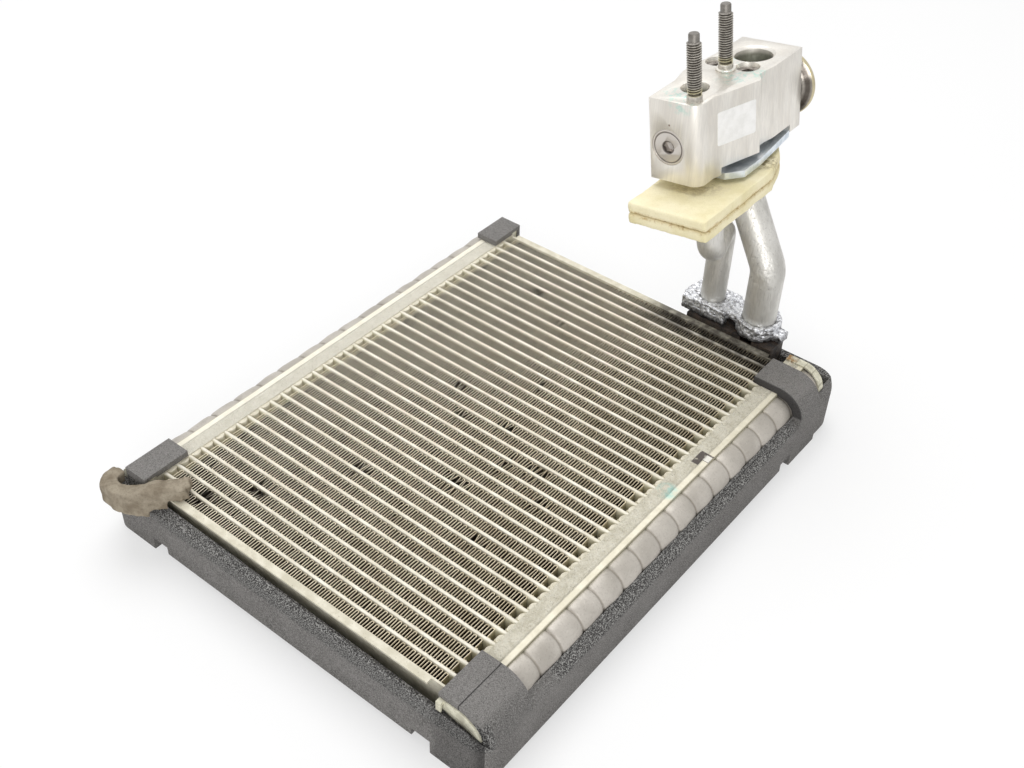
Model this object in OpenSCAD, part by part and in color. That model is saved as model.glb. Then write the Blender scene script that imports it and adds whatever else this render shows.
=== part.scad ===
// Evaporator core of a car's air conditioner: flat tubes and folded fins between two
// header tanks, lying in a foam tray, with an expansion valve carried on two pipes.
// Millimetres, Z up. The tray's corner feet rest on Z = 0, and the origin is the centre
// of the tray's footprint.

/* [Core] */
// Number of flat tubes
tube_count = 35; // [24:1:35]
// Distance from one tube to the next
tube_pitch = 6.5; // [6:0.1:8]
// Length of the tubes between the header plates
tube_len = 160; // [150:1:220]
// Depth of the core along the air flow
core_depth = 27; // [25:0.5:36]
// Thickness of a flat tube
tube_t = 1.8; // [1.5:0.1:2.2]
// Wall of a flat tube and of the webs between its channels
tube_wall = 0.4; // [0.3:0.05:0.5]
// Number of channels in a flat tube
port_count = 8; // [4:1:12]
// How far the tongue at a tube's end reaches past the header plate's inner face
tongue_len = 4; // [3:0.5:6]
// Shoulder beside a tongue, which stops the tube at the header plate
tongue_step = 3; // [2:0.5:4]
// Gap between the end of a fin row and the header plate
fin_inset = 5; // [2:0.5:8]
// How far the fins lie below the edges of the tubes
fin_drop = 0.6; // [0.3:0.1:1.2]

/* [Side plates] */
// Sheet thickness of a side plate
side_t = 0.9; // [0.7:0.1:1.2]
// Width of a side plate over its flanges
side_w = 3.4; // [2.8:0.1:4]
// Web left bare at the left end of the flanges
flange_gap_left = 3; // [1:0.5:8]
// Web left bare at the right end of the flanges
flange_gap_right = 8; // [1:0.5:10]

/* [Headers] */
// Sheet thickness of a header plate
header_t = 1.2; // [1:0.1:1.5]
// How far a header plate stands past the tubes' edges
header_over = 0.3; // [0.2:0.1:0.8]
// Reach of a header plate's lips over the tank
header_lip = 9.2; // [7:0.2:9.2]
// Gap round a tongue in its slot
slot_gap = 0.05; // [0.02:0.01:0.1]
// Wall of a tank
tank_wall = 1.5; // [1.2:0.1:2]
// How far a tank stands out from the header plate's inner face
tank_reach = 18; // [17:0.5:22]
// Outer radius of a tank's edges
tank_r = 8.4; // [7:0.1:9]
// Distance from one groove of a tank to the next
groove_pitch = 13.1; // [11:0.1:16]
// First groove, from the near side plate's place
groove_start = 4.4; // [3:0.1:8]
// Width of a groove
groove_w = 0.8; // [0.4:0.1:1.2]
// Depth of a groove
groove_d = 0.4; // [0.2:0.1:0.6]

/* [End caps] */
// Thickness of an end cap's face
cap_t = 1.5; // [1:0.1:2]
// Thickness of an end cap's rim
cap_rim = 0.8; // [0.6:0.1:1.2]
// Length of an end cap's rim along the tank
cap_skirt = 2.4; // [1.6:0.1:3]
// Gap between an end cap's rim and the header
cap_gap = 0.05; // [0.02:0.01:0.1]
// How far the near end caps stand past the first row
cap_out_near = 5.2; // [5:0.1:7]
// How far the far end caps stand past the last row
cap_out_far = 7.5; // [6:0.1:9]
// How much shorter the left tank is at each end
left_short = 3.3; // [0:0.1:3.4]
// Width of the bent finger on the near right end cap
finger_w = 2.2; // [1.5:0.1:3]
// Reach of the finger along the tray wall
finger_out = 1.7; // [1:0.1:1.8]
// Height of the finger
finger_h = 7; // [5:0.5:7]

/* [Tray] */
// Thickness of the foam walls
tray_wall = 4.5; // [4:0.1:6]
// Gap between the foam and what lies in it
soft_gap = 0.3; // [0.2:0.05:0.5]
// Thickness of the foam lip under the core
lip_t = 2.4; // [2:0.1:4]
// Distance from the lip's edge to the tubes' ends
lip_reach = 2; // [1:0.5:5]
// Height of the feet
foot_h = 3; // [2:0.5:5]
// Width of the bay for the pipes beside the far side plate
pipe_bay = 12.5; // [11:0.5:18]
// Outer radius of the near corners
near_corner_r = 7.5; // [5:0.5:8]
// Outer radius of the far corners
far_corner_r = 13; // [8:1:13]
// How far the near wall's inner edge lies below the tubes' edges at its left end
near_drop_left = 5; // [4.5:0.1:6]
// The same at its right end
near_drop_right = 8.7; // [7:0.1:9]
// How far the outer edge of the near wall lies below the tubes' edges
near_drop_out = 9; // [9:0.1:12]
// How far the right wall's inner edge lies below the tubes' edges
side_drop = 8; // [7:0.5:10]
// How far the right wall's outer edge lies below the tubes' edges
side_drop_out = 12; // [11:0.5:14]
// How far the left wall's inner edge lies below the tubes' edges
left_drop = 11; // [10:0.5:12]
// How far the left wall's outer edge lies below the tubes' edges
left_drop_out = 15; // [14:0.5:17]
// How far the middle of the far wall lies below the tubes' edges
bay_drop = 19; // [10:0.5:20]
// Length of a foot pad along the near wall
near_foot = 25.8; // [18:0.2:34]
// Depth of a foot pad under the near wall
foot_depth = 10; // [6:0.5:14]
// Length of a foot pad along a side wall
side_foot = 23; // [15:1:32]
// Distance from the far wall's outer face to a side wall's foot pad
side_foot_at = 20; // [14:1:26]
// Length of a notch in the bottom edge
notch_len = 9; // [6:0.5:12]
// Height of a notch in the bottom edge
notch_h = 4; // [2:0.5:6]

/* [Corner tabs] */
// Thickness of the tabs
tab_t = 2.8; // [2.4:0.1:3.2]
// Outer radius of a tab's bend
tab_r = 13; // [12:0.1:14]
// Length of the near right tab along the tank
near_tab = 20; // [14:0.5:26]
// Distance from the near end of the far right tab to the far end cap's rim
far_tab = 23.5; // [16:0.5:28]
// Distance from the far end of the far right tab to the far end cap's rim
far_tab_back = 6; // [0:0.2:8]
// Length of the near left tab along the tank
left_near_tab = 16.3; // [12:0.1:20]
// Length of the far left tab along the tank
left_far_tab = 13.5; // [10:0.1:18]
// How far the near tabs reach in past the header plate's inner face
near_tab_in = 0.5; // [0:0.1:1]
// How far the far right tab reaches in past the header plate's inner face
far_tab_in = 3.5; // [0:0.1:4]
// How far the left tabs reach out from the header plate's inner face
left_tab_w = 11.4; // [10:0.1:13]
// Thickness of the left tabs where they fold down over the end caps
fold_t = 1.8; // [1.5:0.1:1.8]

/* [Sponge strip] */
// Thickness of the loose strip at the near left corner
strip_t = 7; // [4:0.5:7]
// Height of the strip above the core
strip_up = 5; // [2:0.2:6]
// Height of the strip at its far end
strip_low = 1.6; // [-1:0.2:2]
// How far the strip hangs down outside the tray
strip_down = 9; // [6:0.5:14]

/* [Pipe connection] */
// Outer diameter of the liquid pipe
liquid_d = 12; // [10:0.5:12]
// Outer diameter of the suction pipe
suction_d = 16; // [14:0.5:17]
// Wall of both pipes
pipe_wall = 1.2; // [0.8:0.1:1.5]
// How far the bead at a pipe's end stands out
bead_out = 1.2; // [0.8:0.1:1.2]
// How far a pipe's end reaches into the valve block past its bead
pipe_insert = 6; // [4:0.5:8]
// Distance of the suction pipe's foot from the right header plate
suction_in = 21.2; // [20:0.1:24]
// Distance between the feet of the two pipes
foot_pitch = 25.5; // [24.5:0.1:27]
// Distance of both pipes' feet from the far side plate
foot_out = 10.5; // [10.5:0.1:13]
// Height of the liquid pipe's first bend over the tubes' edges
liquid_knee = 50; // [46:0.5:54]
// Height of the suction pipe's first bend over the tubes' edges
suction_knee = 37; // [32:0.5:42]
// Radius of the liquid pipe's bends along its middle
liquid_bend = 8.5; // [8:0.5:11]
// Radius of the suction pipe's bends along its middle
suction_bend = 10; // [9:0.5:14]
// Height of the straight end under the valve, liquid pipe
liquid_drop = 80; // [78:0.5:82]
// Height of the straight end under the valve, suction pipe
suction_drop = 66; // [62:0.5:70]
// Height of the connector's top over the tubes' edges
conn_top = 9.5; // [8:0.5:12]
// Thickness of the connector
conn_t = 7.5; // [6:0.5:7.5]
// Depth of the pipes' seats in the connector
seat_d = 5; // [3:0.5:5.5]
// Width of the connector's liquid block
conn_block_w = 23.5; // [18:0.5:24]
// Length of the connector's liquid block
conn_block_l = 17.5; // [16:0.5:19]
// Radius of the connector's suction boss
conn_boss_r = 10.5; // [10:0.1:11.5]
// Width of the web between block and boss
conn_web_w = 12; // [8:0.5:14]
// Thickness of that web
conn_web_t = 4.5; // [3:0.5:6]
// Length of the lug at the connector's left end
lug_left = 2; // [1:0.5:5]
// Length of the lug at the connector's right end
lug_right = 4; // [2:0.5:6]
// Width of the lugs
lug_w = 7; // [5:0.5:9]
// Thickness of the lugs
lug_t = 4; // [3:0.5:5]
// How far the left lug lies below the connector's top
lug_low = 1.7; // [0:0.1:3]
// Length of the brazed channel under the connector
duct_l = 46; // [45:0.5:60]
// How far the channel reaches past the connector's suction boss
duct_past = 3; // [2:0.5:3.5]
// Height of the brazed channel
duct_h = 24; // [20:0.5:26]
// Wall of the brazed channel
duct_wall = 1.5; // [1.2:0.1:2]

/* [Expansion valve] */
// Length of the valve block
valve_l = 73; // [70:0.5:78]
// Width of the valve block
valve_w = 29; // [28:0.5:32]
// Height of the valve block
valve_h = 35.5; // [34:0.5:40]
// Lean of the valve block towards the left
valve_tilt = 8.7; // [6:0.1:10]
// Distance of the block's left side from the liquid pipe's foot
valve_left = 18.2; // [17.5:0.1:19]
// Distance of the block's near face from the pipes' feet
valve_near = 48; // [47:0.1:49]
// Height of the block's top left edge over the tubes' edges
valve_up = 127.2; // [125:0.2:130]
// Radius of the boss round the near stud
boss_r = 5; // [4.8:0.1:5.5]
// Distance from the near face to the start of the slanting panel
panel_start = 11; // [10:0.5:12]
// Distance from the near face to the end of the slanting panel
panel_end = 34.5; // [34:0.1:35]
// How far the panel's end stands out past the block's right side
panel_out = 2.2; // [1.5:0.1:2.5]
// How far the swelling beside the far stud stands out past the left side
swell_out = 2.4; // [1.5:0.1:2.8]
// Near stud, from the block's left side
near_stud_x = 18.5; // [18:0.1:19]
// Near stud, from the block's near face
near_stud_y = 5; // [4.8:0.1:5.2]
// Far stud, from the block's left side
far_stud_x = 12.4; // [12:0.1:12.6]
// Far stud, from the block's near face
far_stud_y = 38.4; // [38:0.1:38.6]
// Liquid port, from the block's left side
liquid_port_x = 11.4; // [11:0.1:12]
// Liquid port, from the block's near face
liquid_port_y = 16.5; // [16.5:0.1:17.5]
// Suction port, from the block's left side
suction_port_x = 14.3; // [14:0.1:15]
// Suction port, from the block's near face
suction_port_y = 58; // [58:0.1:60]
// Left screw, from the block's left side
left_screw_x = 4.9; // [4.8:0.1:5]
// Right screw, from the block's left side
right_screw_x = 19.4; // [19.3:0.1:19.8]
// Both screws, from the block's near face
screw_y = 44.4; // [44.2:0.1:44.6]
// Liquid pipe's socket, from the block's left side
liquid_socket_x = 14.5; // [14:0.1:15]
// Liquid pipe's socket, from the block's near face
liquid_socket_y = 22.5; // [22:0.1:23]
// Suction pipe's socket, from the block's left side
suction_socket_x = 13.6; // [13:0.1:14]
// Suction pipe's socket, from the block's near face
suction_socket_y = 55; // [54.5:0.1:55.5]
// Radius of the liquid port in the top
liquid_port_r = 6; // [5:0.1:6.5]
// Radius of the suction port in the top
suction_port_r = 8.2; // [7.5:0.1:8.5]
// Depth of both ports
port_depth = 11; // [8:0.5:12]
// Chamfer at the mouth of the suction port
port_chamfer = 1.1; // [0.5:0.1:1.2]
// Radius of the screw recesses in the top
screw_recess_r = 5.2; // [4.6:0.1:5.3]
// Depth of the screw recesses
screw_recess_d = 5; // [4:0.5:7]
// Shank radius of the valve screws
screw_r = 2.4; // [2:0.1:2.6]
// Thickness of a screw head
screw_head_t = 3; // [2:0.1:3.5]
// Radius of the passages inside the block
passage_r = 3; // [2:0.1:3.5]
// Height of the hollow in the valve's underside
hollow_h = 3.5; // [3:0.5:6]
// Thickness of the retaining plate
keeper_t = 3; // [2:0.5:4]
// How far the retaining plate reaches up into the hollow
keeper_in = 1; // [0.5:0.1:1.5]
// How far the retaining plate stands out past the block's right side
keeper_out = 3; // [0:0.5:4]
// Radius of the adjusting plug
plug_r = 7.7; // [7:0.1:8]
// Depth of the adjusting plug
plug_l = 6.8; // [5:0.1:7]
// Width of the plug's hexagon socket over its corners
plug_hex = 5.4; // [4:0.1:6]
// Adjusting plug, from the block's left side
plug_x = 8.6; // [8.3:0.1:9.5]
// Adjusting plug, down from the block's top
plug_down = 20.3; // [20:0.1:21]
// Radius of the chamber behind the plug
chamber_r = 5; // [4:0.1:5.5]
// Length of the chamber behind the plug
chamber_l = 20; // [16:0.5:22]
// Radius of the power head's rim
head_r = 15.4; // [14:0.1:16]
// Radius of the power head's neck against the block
head_neck_r = 11; // [9:0.1:12]
// Radius of the power head's crown
head_crown_r = 9; // [7:0.1:10]
// Height of the power head's rim over the far face
head_rim = 4.8; // [4:0.1:6]
// Thickness of the power head's rim
head_rim_t = 1.6; // [1:0.1:2]
// Height of the power head's tip over the far face
head_l = 12.5; // [11:0.1:14]
// Power head, from the block's left side
head_x = 17.4; // [17:0.1:18]
// Power head, down from the block's top
head_down = 19.6; // [19:0.1:20]
// Gap round what is pushed or screwed into the valve block
valve_gap = 0.05; // [0.02:0.01:0.1]

/* [Studs] */
// Thread radius of the two studs
stud_r = 3; // [2.5:0.1:3]
// Length of the thread
stud_thread = 20.1; // [18:0.1:26]
// Radius of the plain shank under the thread
stud_shank_r = 3.2; // [3.1:0.1:3.4]
// Length of the plain shank
stud_shank = 4.5; // [3:0.5:6]
// Radius of the dog point
dog_r = 2.25; // [1.8:0.05:2.4]
// Length of the dog point
dog_l = 3.4; // [2:0.2:5]
// Depth of the studs in the valve block
stud_depth = 9; // [6:0.5:10]

/* [Foam seal] */
// Length of the foam seal
seal_l = 85; // [83:0.5:90]
// Width of the foam seal
seal_w = 37.5; // [36:0.5:42]
// How far the seal reaches past the valve block's left side
seal_left = 0.6; // [0:0.1:3]
// How far the seal reaches past the valve block's near face
seal_near = 17; // [15:0.5:18]
// How much the seal's far right corner is cut away
seal_slant = 16; // [10:0.5:16]
// Thickness of the upper layer
seal_upper_t = 4.8; // [4:0.2:6]
// Thickness of the lower layer
seal_lower_t = 4.6; // [4:0.2:6]
// Distance from the retaining plate to the seal
seal_below = 2; // [1:0.5:4]

/* [Hidden] */
$fn = 48;
// A hair more than a cut needs, so that no skin is left
cut = 1;

// Core
core_len = (tube_count + 1) * tube_pitch;
tongue_w = core_depth - 2 * tongue_step;
port_pitch = (tongue_w - tube_t) / port_count;
near_face = tube_t / 2;
far_face = core_len - tube_t / 2;
near_edge = near_face - side_w;
far_edge = far_face + side_w;

// Headers
header_h = core_depth + 2 * header_over;
tank_h = header_h - 2 * header_t;
cap_r = tank_r + header_t;
groove_count = floor((core_len - 2 * groove_start) / groove_pitch) + 1;

// Tray
lip_top = -core_depth - header_over - soft_gap;
tray_bottom = lip_top - lip_t;
floor_z = tray_bottom - foot_h;
tray_in_x = tank_reach + soft_gap;
tray_x1 = tray_in_x + tray_wall;
tray_in_y0 = near_edge - soft_gap;
tray_in_y1 = far_edge + pipe_bay;
tray_y0 = tray_in_y0 - tray_wall;
tray_y1 = tray_in_y1 + tray_wall;
tray_w = tube_len + 2 * tray_x1;
tab_top = header_over + soft_gap + tab_t;
pocket_x = tank_reach + cap_gap + cap_rim + soft_gap;

// Connection. A bend is a hair fatter than the straight stretches that run into it
bend_swell = 0.03;
bend_lap = 0.3;
seam_turn = 10;
pipe_y = far_edge + foot_out;
suction_x = tube_len - suction_in;
liquid_x = suction_x - foot_pitch;
conn_bottom = conn_top - conn_t;
duct_x = suction_x + conn_boss_r + duct_past - duct_l;
duct_w = pipe_bay - soft_gap;

// Valve
valve_at = [liquid_x - valve_left, pipe_y - valve_near, valve_up];
stud_at = [[near_stud_x, near_stud_y], [far_stud_x, far_stud_y]];
small_port_at = [liquid_port_x, liquid_port_y];
large_port_at = [suction_port_x, suction_port_y];
screw_at = [[left_screw_x, screw_y], [right_screw_x, screw_y]];
liquid_in_at = [liquid_socket_x, liquid_socket_y];
suction_out_at = [suction_socket_x, suction_socket_y];
keeper_top = -valve_h + keeper_in;
keeper_gap = 10 * valve_gap;
hollow_top = -valve_h + hollow_h;
hollow_start = liquid_in_at[1] - liquid_d / 2 - bead_out - soft_gap;
hollow_end = suction_out_at[1] + suction_d / 2 + bead_out + soft_gap;
seal_top = keeper_top - keeper_t - seal_below;

// Points along the sponge strip, from its frayed end on the core to its far end
strip_points = [[17.5, 4], [7.5, -4.5], [-1, -11], [-6, -13], [-12.5, -12.5], [-15.3, -9.5], [-15.3, -4.5]];

tube_colour = [0.93, 0.91, 0.85];
fin_colour = [0.5, 0.48, 0.41];
header_colour = [0.9, 0.88, 0.8];
tank_colour = [0.77, 0.74, 0.72];
foam_colour = [0.33, 0.32, 0.33];
sponge_colour = [0.6, 0.58, 0.5];
braze_colour = [0.62, 0.62, 0.62];
soot_colour = [0.2, 0.18, 0.17];
pipe_colour = [0.75, 0.75, 0.73];
seal_colour = [0.93, 0.91, 0.72];
block_colour = [0.8, 0.79, 0.77];
zinc_colour = [0.7, 0.72, 0.75];
stud_colour = [0.45, 0.44, 0.42];
brass_colour = [0.7, 0.6, 0.38];

function tube_name(i) = str("tube_", i < 10 ? "0" : "", i);

// A point given along the valve block's own axes, in the core's axes
function from_valve(p) = valve_at + [
    p[0] * cos(valve_tilt) - p[2] * sin(valve_tilt),
    p[1],
    p[0] * sin(valve_tilt) + p[2] * cos(valve_tilt)
];

function unit(v) = v / norm(v);

// Where the end caps' faces lie; side 0 is the left one, side 1 the right one
function near_out(side) = -cap_out_near + (1 - side) * left_short;
function far_out(side) = core_len + cap_out_far - (1 - side) * left_short;

// Where the foam tabs can begin and end, clear of the end caps' rims
function near_clear(side) = near_out(side) + cap_t + cap_skirt + soft_gap;
function far_clear(side) = far_out(side) - cap_t - cap_skirt - soft_gap;

// The point at distance r to the left of point i of a plane route, mitred
function left_of(a, b) = unit([a[1] - b[1], b[0] - a[0]]);
function beside(p, i, r) =
    let (last = len(p) - 1,
         before = left_of(p[max(i - 1, 0)], p[max(i, 1)]),
         after = left_of(p[min(i, last - 1)], p[min(i + 1, last)]),
         middle = unit(before + after))
    p[i] + middle * r / (middle * before);

// How far a bend takes the pipe through at point i of its route
function turn(p, i) = acos(unit(p[i] - p[i - 1]) * unit(p[i + 1] - p[i]));

// Length that the bend at point i takes off the straight stretches beside it
function trim(p, i, bend) = bend * tan(turn(p, i) / 2);

// The core's axes: X along the tubes from the left header plate, Y across them from
// the near side plate, Z = 0 at the tubes' upper edges
module in_core() {
    translate([-tube_len / 2, -(tray_y0 + tray_y1) / 2, -floor_z]) children();
}

// A side's own axes: X runs outwards from that header plate's inner face
module on_right() {
    in_core() translate([tube_len, 0, 0]) children();
}

module on_left() {
    in_core() mirror([1, 0, 0]) children();
}

// The valve block's axes: origin at the near left corner of its top face
module in_valve() {
    in_core() translate(valve_at) rotate([0, -valve_tilt, 0]) children();
}

// Stands an outline drawn in X and Z up and draws it out from y0 to y1
module along_y(y0, y1) {
    translate([0, y1, 0]) rotate([90, 0, 0]) linear_extrude(y1 - y0) children();
}

// Stands an outline drawn in Y and Z up and draws it out from x0 to x1
module along_x(x0, x1) {
    translate([x0, 0, 0]) rotate([90, 0, 90]) linear_extrude(x1 - x0) children();
}

// A box given by its ranges along the three axes
module box(x, y, z) {
    translate([x[0], y[0], z[0]]) cube([x[1] - x[0], y[1] - y[0], z[1] - z[0]]);
}

// Outline with round outer corners, centred on the core's middle height
module tank_outline(x0, x1, h, r) {
    translate([0, -core_depth / 2]) {
        translate([x0, -h / 2]) square([x1 - r - x0, h]);
        translate([x0, -h / 2 + r]) square([x1 - x0, h - 2 * r]);
        intersection() {
            for (s = [-1, 1]) translate([x1 - r, s * (h / 2 - r)]) circle(r);
            translate([x0, -h / 2]) square([x1 - x0, h]);
        }
    }
}

module tube_outline(w) {
    square([w - tube_t, tube_t], center = true);
    for (s = [-1, 1]) translate([s * (w - tube_t) / 2, 0]) circle(d = tube_t);
}

module flat_tube(i) {
    color(tube_colour) in_core()
    translate([0, i * tube_pitch, -core_depth / 2]) rotate([0, 90, 0]) difference() {
        union() {
            linear_extrude(tube_len) tube_outline(core_depth);
            translate([0, 0, -tongue_len])
                linear_extrude(tube_len + 2 * tongue_len) tube_outline(tongue_w);
        }
        translate([0, 0, -tongue_len - cut]) linear_extrude(tube_len + 2 * (tongue_len + cut))
            for (k = [0 : port_count - 1])
                translate([(k - (port_count - 1) / 2) * port_pitch, 0])
                    square([port_pitch - tube_wall, tube_t - 2 * tube_wall], center = true);
    }
}

// The envelope of each folded fin strip, which fills the space between two tubes
module fins() {
    color(fin_colour) in_core() for (i = [0 : tube_count])
        translate([fin_inset, i * tube_pitch + tube_t / 2, -core_depth + fin_drop])
            cube([tube_len - 2 * fin_inset, tube_pitch - tube_t, core_depth - 2 * fin_drop]);
}

// A channel with its flanges turned away from the core
module side_channel() {
    translate([0, -side_t, -core_depth]) cube([tube_len, side_t, core_depth]);
    for (z = [-side_t, -core_depth])
        translate([flange_gap_left, -side_w, z])
            cube([tube_len - flange_gap_left - flange_gap_right, side_w, side_t]);
}

module near_side_plate() {
    color(header_colour) in_core() translate([0, near_face, 0]) side_channel();
}

module far_side_plate() {
    color(header_colour) in_core() translate([0, far_face, 0]) mirror([0, 1, 0]) side_channel();
}

module header_plate(side) {
    y0 = near_out(side) + cap_t;
    y1 = far_out(side) - cap_t;
    color(header_colour) difference() {
        union() {
            translate([0, y0, -core_depth - header_over]) cube([header_t, y1 - y0, header_h]);
            for (z = [header_over - header_t, -core_depth - header_over])
                translate([0, y0, z]) cube([header_lip, y1 - y0, header_t]);
        }
        for (i = [1 : tube_count])
            translate([-cut, i * tube_pitch, -core_depth / 2]) rotate([0, 90, 0])
                linear_extrude(header_t + 2 * cut) {
                    square([tongue_w - tube_t, tube_t + 2 * slot_gap], center = true);
                    for (s = [-1, 1]) translate([s * (tongue_w - tube_t) / 2, 0])
                        circle(d = tube_t + 2 * slot_gap);
                }
    }
}

module left_header_plate() {
    on_left() header_plate(0);
}

module right_header_plate() {
    on_right() header_plate(1);
}

module tank(side) {
    color(tank_colour) difference() {
        along_y(near_out(side) + cap_t, far_out(side) - cap_t) difference() {
            tank_outline(header_t, tank_reach, tank_h, tank_r);
            tank_outline(0, tank_reach - tank_wall, tank_h - 2 * tank_wall, tank_r - tank_wall);
        }
        for (i = [0 : groove_count - 1])
            along_y(groove_start + i * groove_pitch - groove_w / 2,
                    groove_start + i * groove_pitch + groove_w / 2) difference() {
                tank_outline(header_lip + groove_d, tank_reach + cut, tank_h + 2 * cut, tank_r - cut);
                tank_outline(0, tank_reach - groove_d, tank_h - 2 * groove_d, tank_r - groove_d);
            }
    }
}

module left_tank() {
    on_left() tank(0);
}

module right_tank() {
    on_right() tank(1);
}

// A cup over a tank's end: its face closes header plate and tank, its rim holds them.
// Drawn for the near end with its face at y = 0 and its rim towards +Y
module end_cap() {
    color(header_colour) {
        along_y(0, cap_t)
            tank_outline(0, tank_reach + cap_gap + cap_rim,
                         header_h + 2 * (cap_gap + cap_rim), cap_r + cap_gap + cap_rim);
        along_y(cap_t, cap_t + cap_skirt) difference() {
            tank_outline(0, tank_reach + cap_gap + cap_rim,
                         header_h + 2 * (cap_gap + cap_rim), cap_r + cap_gap + cap_rim);
            tank_outline(-cut, tank_reach + cap_gap, header_h + 2 * cap_gap, cap_r + cap_gap);
        }
    }
}

// The finger bent down over the tray's near wall
module cap_finger() {
    color(header_colour)
    translate([0, -finger_out, header_over + cap_gap + cap_rim - finger_h])
        difference() {
            cube([finger_w, finger_out + cap_t, finger_h]);
            translate([-cut, finger_out / 2, -cut])
                cube([finger_w + 2 * cut, finger_out / 2, finger_h - cap_t + cut]);
        }
}

module end_cap_near_left() {
    on_left() translate([0, near_out(0), 0]) end_cap();
}

module end_cap_near_right() {
    on_right() translate([0, near_out(1), 0]) {
        end_cap();
        cap_finger();
    }
}

module end_cap_far_left() {
    on_left() translate([0, far_out(0), 0]) mirror([0, 1, 0]) end_cap();
}

module end_cap_far_right() {
    on_right() translate([0, far_out(1), 0]) mirror([0, 1, 0]) end_cap();
}

// Plan of the tray, with its two pairs of corner radii
module tray_plan(near_r, far_r, inset) {
    x0 = -tray_x1 + inset;
    x1 = tube_len + tray_x1 - inset;
    y0 = tray_y0 + inset;
    y1 = tray_y1 - inset;
    translate([x0 + near_r, y0]) square([x1 - x0 - 2 * near_r, far_r]);
    translate([x0, y0 + near_r]) square([x1 - x0, y1 - y0 - near_r - far_r]);
    translate([x0 + far_r, y1 - far_r - cut]) square([x1 - x0 - 2 * far_r, far_r + cut]);
    for (x = [x0 + near_r, x1 - near_r]) translate([x, y0 + near_r]) circle(near_r);
    for (x = [x0 + far_r, x1 - far_r]) translate([x, y1 - far_r]) circle(far_r);
}

module tray_prism(z0, z1) {
    translate([0, 0, z0]) linear_extrude(z1 - z0) tray_plan(near_corner_r, far_corner_r, 0);
}

module tray_cavity() {
    translate([0, 0, lip_top]) linear_extrude(-lip_top + cut) intersection() {
        translate([-tray_in_x, tray_in_y0])
            square([tube_len + 2 * tray_in_x, tray_in_y1 - tray_in_y0]);
        tray_plan(near_corner_r, far_corner_r - tray_wall, tray_wall / 2);
    }
    // Open for the air, but for a lip under the header plates and side plates
    box([-lip_reach, tube_len + lip_reach], [near_face, far_face], [tray_bottom - cut, lip_top + cut]);
}

// Room for the end caps of one side in the foam, in that side's own axes
module cap_pockets(side) {
    z0 = -core_depth - header_over - cap_gap - cap_rim - soft_gap;
    box([-soft_gap, pocket_x], [near_out(side) - soft_gap, near_clear(side)], [z0, cut]);
    box([-soft_gap, pocket_x], [far_clear(side), far_out(side) + soft_gap], [z0, cut]);
}

// What the sloping top takes off a side wall, in a side's own axes
module side_slope(drop_in, drop_out) {
    x0 = tray_in_x;
    x1 = tray_x1;
    along_y(tray_y0 - cut, tray_y1 + cut) polygon([
        [x0 - cap_rim, -drop_in],
        [x0, -drop_in],
        [x1, -drop_out],
        [x1 + cut, -drop_out - cut],
        [x1 + cut, cut],
        [x0 - cap_rim, cut]
    ]);
}

module near_slope() {
    along_x(-tray_x1 - cut, tube_len + tray_x1 + cut) polygon([
        [tray_in_y0, -near_drop_left],
        [tray_y0, -near_drop_out],
        [tray_y0 - cut, -near_drop_out - cut],
        [tray_y0 - cut, cut],
        [tray_in_y0, cut]
    ]);
    along_y(tray_y0 - cut, near_face) polygon([
        [0, -near_drop_left],
        [tube_len, -near_drop_right],
        [tube_len + tray_x1 + cut, -near_drop_right],
        [tube_len + tray_x1 + cut, cut],
        [0, cut]
    ]);
}

module far_slope() {
    slant = bay_drop - side_drop;
    along_y(tray_in_y1 - far_corner_r, tray_y1 + cut) polygon([
        [-slant * 2, -side_drop],
        [-slant, -bay_drop],
        [tube_len - 2 * slant, -bay_drop],
        [tube_len - slant, -side_drop],
        [tube_len + tray_x1, -side_drop],
        [tube_len + tray_x1, cut],
        [-tray_x1, cut],
        [-tray_x1, -side_drop]
    ]);
}

// A strap of foam that bends from the side wall over the tank onto the header plate
module corner_tab(y0, y1, reach_in) {
    bend_x = tray_x1 - tab_r;
    bend_z = tab_top - tab_r;
    along_y(y0, y1) {
        translate([-reach_in, tab_top - tab_t]) square([bend_x + reach_in, tab_t]);
        intersection() {
            translate([bend_x, bend_z]) difference() {
                circle(tab_r);
                circle(tab_r - tab_t);
            }
            translate([bend_x, bend_z - cut]) square([tab_r + cut, tab_r + 2 * cut]);
        }
        translate([tray_x1 - tab_t, -side_drop_out]) square([tab_t, bend_z + side_drop_out]);
    }
}

module right_tabs() {
    corner_tab(near_clear(1), near_clear(1) + near_tab, near_tab_in);
    corner_tab(far_clear(1) - far_tab, far_clear(1) - far_tab_back, far_tab_in);
}

// The left tabs lie flat on the header plate and fold down over the end caps
module left_tabs() {
    wide = [-near_tab_in, left_tab_w];
    over_cap = header_over + cap_gap + cap_rim + soft_gap;
    near_fold = near_out(0) - soft_gap - fold_t;
    far_fold = far_out(0) + soft_gap;
    box(wide, [near_clear(0), near_clear(0) + left_near_tab], [tab_top - tab_t, tab_top]);
    box(wide, [near_fold, near_clear(0) + left_near_tab], [over_cap, tab_top]);
    box(wide, [near_fold, near_fold + fold_t], [-near_drop_out, tab_top]);
    box(wide, [far_clear(0) - left_far_tab, far_clear(0)], [tab_top - tab_t, tab_top]);
    box(wide, [far_clear(0) - left_far_tab, far_fold + fold_t], [over_cap, tab_top]);
    box(wide, [far_fold, far_fold + fold_t], [lip_top - cut, tab_top]);
}

// Foot pads and notches of one side, in that side's own axes
module side_feet() {
    translate([tray_x1 - near_foot, tray_y0, floor_z]) cube([near_foot, foot_depth, foot_h]);
    translate([tray_x1 - foot_depth, tray_y1 - side_foot_at - side_foot, floor_z])
        cube([foot_depth, side_foot, foot_h]);
}

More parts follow.
